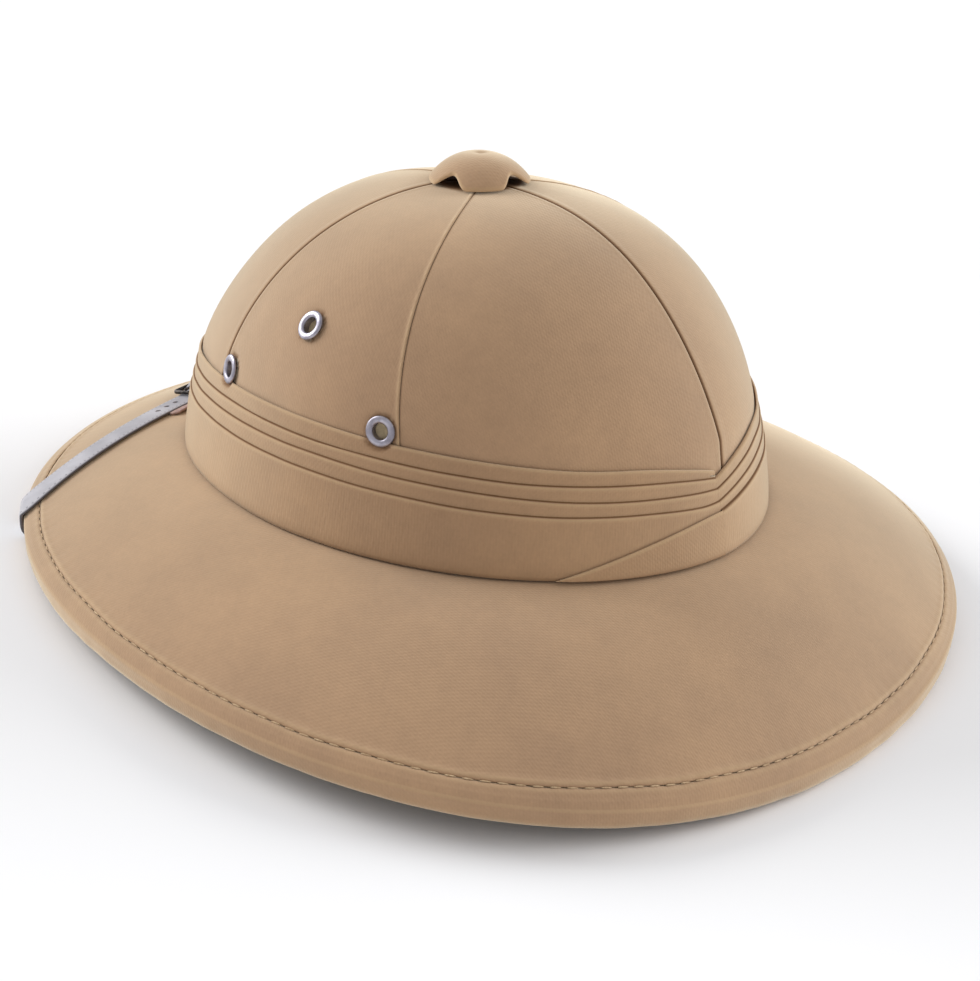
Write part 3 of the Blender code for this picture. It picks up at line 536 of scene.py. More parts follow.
EYELET_CUT = 0.0031
SEAMS = (-26.2, 26.2, 92.3, 153.8, 206.2, 270.0, 333.8)
WELTED_SEAMS = (26.2, 153.8)
PANELS = ("left", "back_left", "back_right", "right", "front_right", "front_left")
EYELET_PLACES = {}
for side, eyelet_turns in (("left", (-22.6, 0.0, 22.6)), ("right", (202.6, 180.0, 157.4))):
    for part, angle, height in zip(("front", "top", "back"), eyelet_turns, (0.0424, 0.0670, 0.0424)):
        EYELET_PLACES[side + "_" + part] = (angle, height)
EYELET_AXES = {name: (crown_surface(*place), crown_normal(*place)) for name, place in EYELET_PLACES.items()}


def eyelet_distance(point):
    """How far a point lies from the axis of the nearest eyelet."""
    nearest = 1.0
    for centre, axis in EYELET_AXES.values():
        arm = point - centre
        if arm.length < 0.02:
            nearest = min(nearest, (arm - axis * arm.dot(axis)).length)
    return nearest


def open_eyelets(bm, radius):
    """Takes the cloth away inside the eyelets' barrels."""
    back = REST.inverted()
    inside = [vert for vert in bm.verts if eyelet_distance(back @ vert.co) < radius]
    bmesh.ops.delete(bm, geom=inside, context="VERTS")


# Seam shapes: each gives the cloth's shift out and its painted shading, with painted shade in the groove or
# low side and a painted highlight on the ridge or welt beside it.
def groove(distance):
    out = 0.00010 * ridge(distance, 0.0018, 0.0009) - 0.00060 * ridge(distance, 0.0, 0.00045)
    painted_shading_and_cut_edge = 0.22 * ridge(distance, 0.0012, 0.0005) - 1.0 * ridge(distance, 0.0, 0.00048)
    return out, painted_shading_and_cut_edge


def low_side(distance):
    out = -0.00014 * ridge(distance, 0.0, 0.0005)
    painted_shading_and_cut_edge = -0.30 * ridge(distance, 0.0, 0.0005)
    return out, painted_shading_and_cut_edge


def welt(distance):
    out = 0.00026 * ridge(distance, 0.0006, 0.0006) - 0.00015 * ridge(distance, 0.0, 0.0002)
    painted_shading_and_cut_edge = 0.65 * ridge(distance, 0.0006, 0.0005) - 0.2 * ridge(distance, 0.0, 0.0002)
    return out, painted_shading_and_cut_edge


def panel_place_for(first, last):
    """The placing function of the panel between these two seams."""

    def place(angle, row):
        foot = foot_height(angle)
        if row <= 1:
            height = foot + (WALL_HEIGHT - foot) * row
        else:
            rise = min(math.sin(math.radians(90 * (row - 1))), 0.9985)
            height = WALL_HEIGHT + (CROWN_HEIGHT - WALL_HEIGHT) * rise
        per_degree = (crown_surface(angle + 0.5, height) - crown_surface(angle - 0.5, height)).length
        hold = 0.00006 * (1 - 2 * (angle - first) / (last - first)) / per_degree
        spot = crown_surface(angle + hold, height)
        out = 0.0
        painted_shading_and_cut_edge = 0.0
        for seam, distance in ((first, (angle - first) * per_degree), (last, (last - angle) * per_degree)):
            shape = groove
            if seam in WELTED_SEAMS:
                shape = welt if first in (-26.2, 153.8) else low_side
            more, shade = shape(distance)
            if shape == welt:
                beaded = 0.8 + 0.6 * bump_at(spot, 0.0032, 9.0)
                more *= beaded
                shade *= beaded
            out += more
            painted_shading_and_cut_edge += shade
        middle = min(angle - first, last - angle) * per_degree / 0.02
        out += 0.00030 * bump_at(spot, 0.030, 7.0) * min(max(middle, 0.25), 1.0)
        # The cloth dips round each eyelet, with a ring of painted shade at the flange's edge.
        around = eyelet_distance(spot)
        out -= 0.00035 * ridge(around, 0.0045, 0.0016)
        painted_shading_and_cut_edge -= 0.55 * ridge(around, 0.0051, 0.0004)
        # Painted shade on the crown under the vent cap.
        under_cap = math.hypot(spot.x, spot.y - APEX_SHIFT)
        painted_shading_and_cut_edge -= min(max((0.0155 - under_cap) / 0.0030, 0.0), 1.0)
        point = spot + crown_normal(angle + hold, height) * out
        up = (row if row <= 1 else 1 + (row - 1) * 3.0) * 0.035
        return point, ((angle - (first + last) / 2) * per_degree, up), painted_shading_and_cut_edge

    return place


SEAM_STEPS = (0.0, 0.1, 0.2, 0.32, 0.46, 0.64, 0.88, 1.2, 1.6, 2.1)
for name, first, last in zip(PANELS, SEAMS, SEAMS[1:]):
    count = round((last - first - 4.2) / 0.66)
    columns = [first + step for step in SEAM_STEPS[:-1]]
    columns += spread(first + 2.1, last - 2.1, count)
    columns += [last - step for step in SEAM_STEPS[-2::-1]]
    panel_rows = [*spread(0.0, 1.0, 12), *spread(1.0, 2.0, 74)[1:]]
    panel_mesh = drawn_grid(columns, panel_rows, panel_place_for(first, last))
    if name in ("left", "right"):
        open_eyelets(panel_mesh, EYELET_CUT)
    panel = add_piece("crown_cloth_" + name, panel_mesh, khaki_drill, "khaki_cloth", "crown_panel_" + name)
    back_with(panel, CLOTH)

# Band: one long strip of thinner cotton wound round the crown and folded into four pleats that overlap
# upwards like slates. Each fold is a soft roll with painted shade in the crevice over it and a painted
# highlight on the roll. Its start is lapped at the back by its end.

CROSSING = 88.0
CROWN_MEAN_RADIUS = 0.102
PLEAT_THREADS = 0.00075
BAND_HEIGHT = 0.0355
BAND_SIDE_RISE = 0.0051
BAND_TOP_FOLD = 0.0010
PLEAT_STEP = 0.0005
BAND_END_CLOTH = 0.0008
LAP_SWEEP = 30.0
# Each fold as shares: of the band's height, its rise at the sides, and its near and far dips at the
# crossing
PLEATS = (
    (1.000, 1.00, 1.00, 1.00),
    (0.854, 0.86, 0.61, 0.87),
    (0.724, 0.92, 0.36, 0.75),
    (0.583, 0.80, 0.44, 0.56),
)
# Points down the first fold and the others: height over the fold, share of the step out, more out, and
# painted shading (painted shade below 0, painted highlight above 0)
TOP_ROLL = (
    (-0.0006, 0.0, 0.0, -0.8),
    (-0.0001, 0.1, 0.0, -0.5),
    (0.0, 0.4, 0.0, 0.0),
    (-0.0002, 0.8, 0.0, 0.45),
    (-0.0006, 1.0, 0.0, 0.45),
    (-0.0011, 1.0, 0.0, 0.1),
    (-0.0018, 1.0, 0.0, 0.0),
)
ROLL = (
    (0.0010, 0.0, 0.0, 0.0),
    (0.0004, 0.0, 0.0, -0.1),
    (0.00018, 0.0, -0.0001, -0.8),
    (-0.00002, 0.3, 0.0, -0.9),
    (-0.0002, 0.8, 0.0, -0.2),
    (-0.0004, 1.0, 0.0, 0.35),
    (-0.0007, 1.0, 0.00008, 0.5),
    (-0.0011, 1.0, 0.00006, 0.25),
    (-0.0018, 1.0, 0.0, 0.0),
)


def fold_height(index, travel):
    """The height of a pleat's fold, this many degrees round from the crossing."""
    height, side_rise, near_dip, far_dip = PLEATS[index]
    far = max(1 - travel / 20.0, 0.0) ** 1.3
    near = max(1 - (360 - travel) / 22.0, 0.0) ** 2.0
    top = BAND_HEIGHT * height + wave(CROSSING + travel, 0.00085, BAND_SIDE_RISE * side_rise)
    return top - 0.0075 * far_dip * far - 0.0050 * near_dip * near


def band_outline(travel):
    """The band's section at one place, as heights, distances out from the crown and painted shading."""
    angle = CROSSING + travel
    lap = max(1 - travel / LAP_SWEEP, 0.0)
    folds = []
    for index in range(4):
        wander = bump_at(crown_surface(angle, 0.02), 0.028, 11.0 + 3 * index)
        height = fold_height(index, travel) + 0.00022 * wander * min(travel / 8, (360 - travel) / 8, 1.0)
        if index:
            climb = fold_height(index - 1, 0.0) - fold_height(index, 360.0)
            height += climb * max(1 - (360 - travel) / 6, 0.0) ** 2
        folds.append(height)
    out = GAP + BAND_TOP_FOLD + PLEAT_STEP * lap
    outline = []
    for rise, share, more, shade in TOP_ROLL:
        outline.append((folds[0] + rise, GAP + (out - GAP) * share + more, shade))
    for index in (1, 2, 3):
        upper = outline[-1][0]
        lower = folds[index] + ROLL[0][0]
        for share in (0.33, 0.67):
            outline.append((upper + (lower - upper) * share, out, 0.0))
        step = PLEAT_STEP
        if index == 3:
            step += (GAP + BAND_END_CLOTH - PLEAT_STEP) * lap
        for rise, share, more, shade in ROLL:
            outline.append((folds[index] + rise, out + step * share + more, shade))
        out += step
    foot = foot_height(angle) + 0.00008
    upper = outline[-1][0]
    # Down to the foot, with painted shade deepening at the bottom, then the hidden rows against the crown, in
    # painted shade.
    for share in (0.2, 0.4, 0.6, 0.8, 0.93, 1.0):
        outline.append((upper + (foot - upper) * share, out - 0.0003 * share ** 6, -0.35 * share ** 16))
    outline.append((foot, GAP, -0.8))
    outline.append((foot + (WALL_HEIGHT - foot) * 0.6, GAP, -0.8))
    outline.append(outline[0])
    return outline


BAND_OUTLINES = {}


def band_place(travel, row):
    if travel not in BAND_OUTLINES:
        BAND_OUTLINES[travel] = band_outline(travel)
    outline = BAND_OUTLINES[travel]
    height, out, painted_shading_and_cut_edge = outline[row]
    angle = CROSSING + travel
    spot = crown_surface(angle, height)
    if 0 < row < len(outline) - 3:
        out += 0.00014 * bump_at(spot, 0.013, 21.0)
        around = eyelet_distance(spot)
        give = min(max((around - 0.0048) / 0.0014, 0.0), 1.0)
        out = 0.00022 + (out - 0.00022) * give * give * (3 - 2 * give)
        # A ring of painted shade round each eyelet's flange.
        painted_shading_and_cut_edge -= 0.7 * ridge(around, 0.0054, 0.0007)
    point = spot + crown_normal(angle, height) * out
    return point, (math.radians(travel) * CROWN_MEAN_RADIUS, row * PLEAT_THREADS), painted_shading_and_cut_edge


def close_ends(bm):
    """Fills a strip's open ends, with a crisp line round each."""
    for face in bmesh.ops.holes_fill(bm, edges=bm.edges, sides=0)["faces"]:
        for edge in face.edges:
            edge.smooth = False


band_cotton = cotton_drill("pleated_band_cotton", "#b28e6b", "#9f7e60")
band_travels = [0.01, 0.5, 1.2, *spread(2.0, 358.0, 560), 358.8, 359.5, 359.99]
band_rows = list(range(len(band_outline(180.0)) - 1, -1, -1))
band_mesh = drawn_grid(band_travels, band_rows, band_place)
open_eyelets(band_mesh, EYELET_CUT)
bmesh.ops.remove_doubles(band_mesh, verts=band_mesh.verts, dist=0.00001)
add_piece("pleated_band", band_mesh, band_cotton, "band_cloth", "band")

# Band end: the strip's last turn, which crosses over its start at the back and runs down to the brim,
# where it is tucked in. Its top edge is the last fold, rolled like the others.

BAND_END_ANGLE = 53.0
END_BASE = GAP + BAND_TOP_FOLD + 3 * PLEAT_STEP + GAP


def band_end_place(share, row):
    """A point of the band's end: row 0 at its foot, 1 at its rolled top edge, 2 back at its foot behind."""
    angle = BAND_END_ANGLE + (CROSSING - BAND_END_ANGLE) * share
    foot = foot_height(angle) + 0.00008
    top = foot + (fold_height(3, 0.0) - foot) * (1 - (1 - share) ** 1.7)
    roll = min(0.0014, 0.45 * (top - foot))
    cloth = BAND_END_CLOTH * min(0.25 + share / 0.10, 1.0)
    # Painted shading: shade deepening to the foot, a highlight on the rolled top edge and shade on its back.
    painted_shading_and_cut_edge = 0.0
    if row <= 0.8:
        height = foot + (top - roll - foot) * row / 0.8
        out = END_BASE + cloth - 0.0003 * (1 - row / 0.8) ** 6
        painted_shading_and_cut_edge = -0.35 * (1 - row / 0.8) ** 16
    elif row <= 1.2:
        turn = math.pi * (row - 0.8) / 0.4
        height = top - roll + roll * math.sin(turn)
        out = END_BASE + cloth / 2 + (cloth / 2 + 0.0001) * math.cos(turn)
        painted_shading_and_cut_edge = 0.5 * math.sin(min(2 * turn, math.pi)) - 1.2 * max(turn / math.pi - 0.5, 0.0)
    else:
        height = foot + (top - roll - foot) * (2 - row) / 0.8
        out = END_BASE
    spot = crown_surface(angle, height)
    if row < 1:
        out += 0.00014 * bump_at(spot, 0.013, 21.0)
    point = spot + crown_normal(angle, height) * out
    return point, (math.radians(angle) * CROWN_MEAN_RADIUS, height), painted_shading_and_cut_edge


end_rows = [*spread(0.0, 0.8, 10), *spread(0.8, 1.2, 10)[1:], 1.6, 2.0]
end_mesh = drawn_grid(spread(0.006, 1.0, 70), end_rows, band_end_place)
close_ends(end_mesh)
add_piece("band_end_flap", end_mesh, band_cotton, "band_cloth", "band_end")

# Vent cap: a small cotton-covered dome that stands on four lobes over the hole at the crown's top. Air
# goes out under the arches between its lobes. Its edge is bound, and a painted highlight makes it a little
# paler; painted shade lies on its underside.

CAP_RADIUS = 0.0172
CAP_VALLEY_RADIUS = 0.0136
CAP_HEIGHT = 0.0094
CAP_WALL = 0.0015
CAP_TOP = CROWN_HEIGHT + CAP_HEIGHT


def crown_height_at(x, y):
    """The height of the crown's cloth at this place near its apex."""
    low = WALL_HEIGHT
    high = CROWN_HEIGHT
    for _ in range(40):
        height = (low + high) / 2
        wide, long, back = crown_size(height)
        along = (y - back) / long
        across = x / (wide * (1 + CROWN_EGG * max(-1.0, min(1.0, signed_power(along, CROWN_SQUARENESS / 2)))))
        if abs(across) ** CROWN_SQUARENESS + abs(along) ** CROWN_SQUARENESS > 1:
            high = height
        else:
            low = height
    return low


def cap_place(angle, row):
    """A point of the cap: row 0 under its top, 1 where its edge turns, 2 at the middle of its top."""
    turn = math.radians(angle)
    out = Vector((math.cos(turn), math.sin(turn), 0.0))
    lobe = (1 - math.cos(4 * turn)) / 2
    bulge = math.sin(min(lobe / 0.6, 1.0) * math.pi / 2)
    radius = CAP_VALLEY_RADIUS + (CAP_RADIUS - CAP_VALLEY_RADIUS) * bulge
    seat = crown_height_at(CAP_RADIUS * out.x, APEX_SHIFT + CAP_RADIUS * out.y)
    drop = CAP_TOP - CAP_WALL - GAP - seat
    # Painted shading: shade under the cap, a highlight on its turned edge, and shade in the dip at the middle
    # of its top.
    painted_shading_and_cut_edge = 0.0
    if row < 0.9:
        share = 0.03 + 0.935 * row / 0.9
        lower = CAP_WALL
        painted_shading_and_cut_edge = -0.9
    elif row <= 1.1:
        bend = math.pi * (row - 1) / 0.2
        share = 0.965 + 0.035 * math.cos(bend)
        lower = CAP_WALL / 2 - CAP_WALL / 2 * math.sin(bend)
        painted_shading_and_cut_edge = 0.65 * math.cos(bend)
    else:
        share = 0.03 + 0.935 * (2 - row) / 0.9
        lower = 0.0005 * ridge(share * radius, 0.0, 0.0018)
        painted_shading_and_cut_edge = -0.25 * ridge(share * radius, 0.0, 0.0022)
        lower -= 0.00012 * bump_at(out * share * radius, 0.006, 41.0)
    reach = radius * share
    top = CAP_TOP - drop * (reach / CAP_RADIUS) ** 2.5 - lower
    point = Vector((0.0, APEX_SHIFT, top)) + out * reach
    return point, (point.x, point.y), painted_shading_and_cut_edge


cap_rows = [*spread(0.0, 0.9, 8), *spread(0.9, 1.1, 8)[1:], *spread(1.1, 2.0, 24)[1:]]
cap_mesh = drawn_grid(spread(0.0, 360.0, 144), cap_rows, cap_place)
bmesh.ops.remove_doubles(cap_mesh, verts=cap_mesh.verts, dist=0.00001)
bmesh.ops.holes_fill(cap_mesh, edges=cap_mesh.edges, sides=0)
add_piece("vent_cap_dome", cap_mesh, khaki_drill, "khaki_cloth", "vent_cap")

# Cap post: a nickel-plated stud that holds the vent cap to the shell, with a flat head inside the crown.


def nickel_plate():
    """Satin nickel plate, clouded by handling, with faint scratches that break up its gloss."""
    finish, shader = new_finish("satin_nickel_plate", "#cfcbd1", 0.32, 1.0)
    where = add_node(finish, "TexCoord", {}, "Object")
    cloud = add_node(finish, "TexNoise", {"Vector": where, "Scale": 260.0, "Detail": 4.0})
    scratch = add_node(finish, "TexNoise", {"Vector": where, "Scale": 1500.0, "Detail": 2.0})
    tone = mixed(finish, ranged(finish, cloud, 0.35, 0.7, 0.0, 1.0), linear("#b5b1bb"), linear("#88848e"))
    finish.node_tree.links.new(tone, shader.inputs["Base Color"])
    finish.node_tree.links.new(ranged(finish, cloud, 0.3, 0.7, 0.30, 0.50), shader.inputs["Roughness"])
    set_bump(finish, shader, scratch, 0.00003, 0.4)
    return finish


def frame_at(point, axis):
    """A placement at the point whose Z runs along the axis."""
    return Matrix.Translation(point) @ axis.to_track_quat("Z", "Y").to_matrix().to_4x4()


def spun(profile, is_ring, steps, placement):
    """A profile of radii and heights, turned about the placement's Z."""
    bm = bmesh.new()
    verts = [bm.verts.new((radius, 0.0, height)) for radius, height in profile]
    edges = [bm.edges.new(pair) for pair in zip(verts, verts[1:] + verts[:1] if is_ring else verts[1:])]
    bmesh.ops.spin(bm, geom=verts + edges, cent=(0, 0, 0), axis=(0, 0, 1), angle=2 * math.pi, steps=steps,
                   use_merge=True)
    bmesh.ops.remove_doubles(bm, verts=bm.verts, dist=0.000005)
    bmesh.ops.recalc_face_normals(bm, faces=bm.faces)
    bm.transform(REST @ placement)
    return bm


nickel = nickel_plate()
head = CROWN_HEIGHT - INSIDE - 0.0018
post_top = CAP_TOP - CAP_WALL - 2 * GAP
post_profile = (
    (0.0, post_top),
    (0.0023, post_top),
    (0.0025, post_top - 0.0002),
    (0.0025, head),
    (0.0056, head),
    (0.0060, head - 0.0004),
    (0.0060, head - 0.0011),
    (0.0055, head - 0.0015),
    (0.0, head - 0.0015),
)
post_mesh = spun(post_profile, False, 40, Matrix.Translation((0.0, APEX_SHIFT, 0.0)))
add_piece("cap_stud", post_mesh, nickel, "nickel", "cap_post")

# Eyelets: six nickel-plated vent eyelets, three on each side, rolled over the cloth outside and clinched
# over a washer on the inside of the shell.

EYELET_RADIUS = 0.0050
EYELET_HOLE = 0.00265
EYELET_CREST = 0.0010

eyelet_profile = []
for turn in spread(0.0, math.pi, 12):
    radius = (EYELET_RADIUS + EYELET_HOLE) / 2 - (EYELET_RADIUS - EYELET_HOLE) / 2 * math.cos(turn)
    eyelet_profile.append((radius, GAP + EYELET_CREST * (0.35 + 0.65 * math.sin(turn))))
eyelet_back = -(INSIDE + 0.0018)
eyelet_profile += [(EYELET_RADIUS, GAP), (EYELET_HOLE + 0.0004, GAP), (EYELET_HOLE + 0.0004, eyelet_back),
                   (0.0044, eyelet_back), (0.0044, eyelet_back - 0.0004), (0.0040, eyelet_back - 0.0006),
                   (EYELET_HOLE + 0.0003, eyelet_back - 0.0006), (EYELET_HOLE, eyelet_back - 0.0003)]
for name, (centre, axis) in EYELET_AXES.items():
    add_piece("vent_eyelet_" + name, spun(eyelet_profile, True, 64, frame_at(centre, axis)), nickel, "nickel",
              "eyelet_" + name)

# Chin strap: two lengths of smooth grey leather, joined over the front of the brim by a buckle. Each
# turns round the bound edge and runs in under the brim to a rivet inside the crown. A stitched line
# follows both of its sides.

STRAP_WIDTH = 0.0104
STRAP_STAND_OFF = 0.0030
STRAP_BOW = 0.0080
BAND_DEPTH = GAP + BAND_TOP_FOLD + 3 * PLEAT_STEP
ANCHOR_HEIGHT = 0.0140
ANCHOR_END = 0.0060
ANCHOR_CLEARANCE = 0.0008
BUCKLE_X = 0.0080
BUCKLE_LENGTH = 0.0150
BUCKLE_WIRE = 0.0008
CHAPE = 0.0100
BAR_HEIGHT = 2 * GAP + STRAP + BUCKLE_WIRE + 0.0002
CHAPE_RADIUS = BUCKLE_WIRE + GAP + STRAP / 2


def halved(low, high, is_past):
    """The value between low and high at which is_past turns true."""
    for _ in range(40):
        middle = (low + high) / 2
        if is_past(middle):
            high = middle
        else:
            low = middle
    return low


def strap_y(x):
    """The strap's middle line over the brim, from one edge to the other."""
    front = -(CROWN_HALF_LENGTH + BAND_DEPTH + STRAP_STAND_OFF + STRAP_WIDTH / 2)
    edge = edge_point(STRAP_EDGE_ANGLE)
    share = (math.hypot(x, STRAP_BOW) - STRAP_BOW) / (math.hypot(edge.x, STRAP_BOW) - STRAP_BOW)
    return edge.y + (front - edge.y) * max(1 - share, 0.0) ** 1.2


def brim_place(x, y):
    """The angle and share of the brim's surface at this place in front of the crown."""

    def is_past(angle):
        run = edge_point(angle) - foot_point(angle)
        return run.x * (y - foot_point(angle).y) - run.y * (x - foot_point(angle).x) < 0

    angle = halved(-175.0, -5.0, is_past)
    foot = foot_point(angle)
    edge = edge_point(angle)
    return angle, math.hypot(x - foot.x, y - foot.y) / math.hypot(edge.x - foot.x, edge.y - foot.y)


def over_brim(x, height):
    """A section of the strap over the brim: its middle, its facing and half of its width."""
    angle, share = brim_place(x, strap_y(x))
    facing = brim_normal(angle, share)
    travel = Vector((0.001, strap_y(x + 0.0005) - strap_y(x - 0.0005), 0.0))
    across = facing.cross(travel).normalized() * STRAP_WIDTH / 2
    return brim_surface(angle, share) + facing * height, facing, across


def landing(x, height):
    """A section over the brim that lies along the edge where the strap turns round it."""
    middle, facing, across = over_brim(x, height)
    along = edge_tangent(STRAP_EDGE_ANGLE)
    along = (along - facing * along.dot(facing)).normalized()
    along *= math.copysign(STRAP_WIDTH / 2, along.dot(across)) / abs(along.dot(across.normalized()))
    share = min(max((edge_point(STRAP_EDGE_ANGLE).x - x) / 0.0200, 0.0), 1.0)
    return middle, facing, along.lerp(across, share)


def anchor_angle():
    """Where the strap, run straight in from the edge, meets the crown."""
    edge = edge_point(STRAP_EDGE_ANGLE)
    outward = edge_outward(STRAP_EDGE_ANGLE)

    def is_past(angle):
        inward = foot_point(angle) - edge
        return inward.x * outward.y - inward.y * outward.x < 0

    return halved(-80.0, -5.0, is_past)


ANCHOR = anchor_angle()
STRAP_DEPTH = INSIDE + ANCHOR_CLEARANCE + STRAP / 2


def strap_inside():
    """The sections from the riveted end down the wall, out under the brim and round its edge."""
    foot = foot_height(ANCHOR)
    wall_along = UP.cross(crown_normal(ANCHOR, foot)).normalized() * STRAP_WIDTH / 2
    sections = []
    for height in (ANCHOR_HEIGHT + ANCHOR_END, ANCHOR_HEIGHT, ANCHOR_HEIGHT / 2, 0.0):
        inward = -crown_normal(ANCHOR, foot + height)
        sections.append((crown_point(ANCHOR, foot + height, -STRAP_DEPTH), inward, wall_along))
    corner = foot_corner(ANCHOR, INSIDE)
    inward = Vector((inward.x, inward.y, 0.0)).normalized()
    for turn in (10.0, 25.0, 40.0, 55.0):
        facing = leaning(inward, -turn)
        sections.append((corner + facing * (ANCHOR_CLEARANCE + STRAP / 2), facing, wall_along))
    outward = edge_outward(STRAP_EDGE_ANGLE)
    edge_along = edge_tangent(STRAP_EDGE_ANGLE) * STRAP_WIDTH / 2
    run = sections[-1][0] - rim_centre(STRAP_EDGE_ANGLE)
    leave = -90 - math.degrees(math.atan2(run.z + RIM_RADIUS, math.hypot(run.x, run.y)))
    for turn in spread(leave, 0.0, 12):
        middle = rim_point(STRAP_EDGE_ANGLE, turn, RIM_RADIUS + GAP + STRAP / 2)
        sections.append((middle, leaning(outward, turn), edge_along))
    flat = landing(edge_point(STRAP_EDGE_ANGLE).x, 0.0)[2]
    flat *= math.copysign(1.0, flat.dot(edge_along))
    for turn, share in ((10.0, 0.15), (30.0, 0.4), (50.0, 0.65), (62.0, 0.8)):
        facing = leaning(outward, turn)
        middle = edge_point(STRAP_EDGE_ANGLE) + facing * (GAP + STRAP / 2)
        sections.append((middle, facing, edge_along.lerp(flat, share)))
    return sections


def flat_run(last, height):
    first = edge_point(STRAP_EDGE_ANGLE).x - 0.0030
    return [landing(x, height) for x in spread(first, last, round((first - last) / 0.0030))]


def mirrored(section):
    return [Vector((-value.x, value.y, value.z)) for value in section]


def strap_sections(sections):
    """The same strap with a section about every millimetre and its kinks eased."""
    aligned = [sections[0]]
    for middle, facing, half in sections[1:]:
        aligned.append((middle, facing, half * math.copysign(1.0, half.dot(aligned[-1][2]))))
    fine = []
    for one, other in zip(aligned, aligned[1:]):
        count = max(round((other[0] - one[0]).length / 0.0011), 1)
        for i in range(count):
            fine.append([a.lerp(b, i / count) for a, b in zip(one, other)])
    fine.append(list(aligned[-1]))
    for _ in range(4):
        eased = [[(a + 2 * b + c) / 4 for a, b, c in zip(*three)] for three in zip(fine, fine[1:], fine[2:])]
        fine = [fine[0], *eased, fine[-1]]
    return fine


def strap_piece(name, sections, finish, *nodes):
    fine = strap_sections(sections)
    lengths = [0.0]
    for one, other in zip(fine, fine[1:]):
        lengths.append(lengths[-1] + (other[0] - one[0]).length)

    def place(index, turn):
        middle, facing, half = fine[index]
        facing = facing.normalized()
        side = signed_power(math.cos(math.radians(turn)), 0.25)
        thick = signed_power(math.sin(math.radians(turn)), 0.55)
        crowned = 1 - 0.16 * side * side
        point = middle + half * side + facing * STRAP / 2 * thick * crowned
        rim = max(abs(side) - 0.93, 0.0) / 0.07
        return point, (lengths[index], side * STRAP_WIDTH / 2), rim

    turns = [0, 8, 18, 32, 50, 66, 78, 90, 102, 114, 130, 148, 162, 172]
    turns = [*turns, *[turn + 180 for turn in turns], 360]
    bm = drawn_grid(list(range(len(fine))), turns, place)
    bmesh.ops.remove_doubles(bm, verts=bm.verts, dist=0.000005)
    close_ends(bm)
    bmesh.ops.recalc_face_normals(bm, faces=bm.faces)
    return add_piece(name, bm, finish, "grey_leather", *nodes)


def grey_leather():
    """Smooth chrome-tanned leather, faded with wear to a pale lilac grey, with darker cut edges and sewn
    lines.
    """
    finish, shader = new_finish("grey_strap_leather", "#b4b3b8", 0.55)
    where = add_node(finish, "TexCoord", {}, "Object")
    flat = add_node(finish, "TexCoord", {}, "UV")
    cut = add_node(finish, "Attribute", {}, "Fac", attribute_name="painted_shading_and_cut_edge")
    blotch = add_node(finish, "TexNoise", {"Vector": where, "Scale": 55.0, "Detail": 5.0})
    pores = add_node(finish, "TexVoronoi", {"Vector": where, "Scale": 1100.0})
    tone = mixed(finish, ranged(finish, blotch, 0.32, 0.68, 0.0, 1.0), linear("#949298"), linear("#bdbbc0"))
    across = add_node(finish, "SeparateXYZ", {0: flat}, 1)
    along = add_node(finish, "SeparateXYZ", {0: flat}, 0)
    off_middle = add_node(finish, "Math", {0: across}, operation="ABSOLUTE")
    from_line = add_node(finish, "Math", {0: off_middle, 1: 0.0041}, operation="SUBTRACT")
    from_line = add_node(finish, "Math", {0: from_line}, operation="ABSOLUTE")
    line = ranged(finish, from_line, 0.00016, 0.00030, 1.0, 0.0)
    beat = add_node(finish, "Math", {0: along, 1: 0.0024}, operation="MODULO")
    sewn = ranged(finish, beat, 0.0016, 0.0018, 1.0, 0.0)
    stitch = add_node(finish, "Math", {0: sewn, 1: line}, operation="MULTIPLY")
    tone = mixed(finish, line, tone, linear("#828187"))
    tone = mixed(finish, stitch, tone, linear("#bebcc0"))
    tone = mixed(finish, cut, tone, linear("#58565b"))
    finish.node_tree.links.new(tone, shader.inputs["Base Color"])
    finish.node_tree.links.new(ranged(finish, blotch, 0.3, 0.7, 0.48, 0.66), shader.inputs["Roughness"])
    height = add_node(finish, "Math", {0: pores, 1: 0.25}, operation="MULTIPLY")
    height = add_node(finish, "Math", {0: height, 1: line}, operation="SUBTRACT")
    height = add_node(finish, "Math", {0: height, 1: stitch}, operation="ADD")
    set_bump(finish, shader, height, 0.00018, 0.7)
    return finish


leather = grey_leather()
low = GAP + STRAP / 2
rider = low + STRAP + GAP
over = BAR_HEIGHT + CHAPE_RADIUS + STRAP + GAP
buckle_rim = BUCKLE_X + BUCKLE_LENGTH
tongue_sections = strap_inside() + flat_run(buckle_rim + 2 * BUCKLE_WIRE, low)
for x, height in (
    (buckle_rim - 2 * BUCKLE_WIRE, low),
    (BUCKLE_X + 2 * CHAPE_RADIUS, over),
    (BUCKLE_X - CHAPE / 2, over),
    (BUCKLE_X - CHAPE - 2 * GAP, over),
    (BUCKLE_X - CHAPE - 0.0060, rider),
    (-0.0180, rider),
    (-0.0240, rider),
):
    tongue_sections.append(over_brim(x, height))
tongue = strap_piece("chin_strap_tongue_side", tongue_sections, leather, "chin_strap_tongue")

holder_sections = [mirrored(section) for section in strap_inside() + flat_run(0.0, low)]
holder_sections.append(over_brim(BUCKLE_X, low))
middle, facing, across = over_brim(BUCKLE_X, BAR_HEIGHT)
onward = across.cross(facing).normalized()
onward *= math.copysign(1.0, onward.x)
for turn in (-60.0, -30.0, 0.0, 30.0, 60.0):
    out = onward * math.cos(math.radians(turn)) + facing * math.sin(math.radians(turn))
    holder_sections.append((middle + out * CHAPE_RADIUS, -out, across))
for x in (BUCKLE_X, BUCKLE_X - CHAPE / 2, BUCKLE_X - CHAPE):
    middle, facing, across = over_brim(x, BAR_HEIGHT + CHAPE_RADIUS)
    holder_sections.append((middle, -facing, across))
strap_piece("chin_strap_holder_side", holder_sections, leather, "chin_strap_buckle_side")

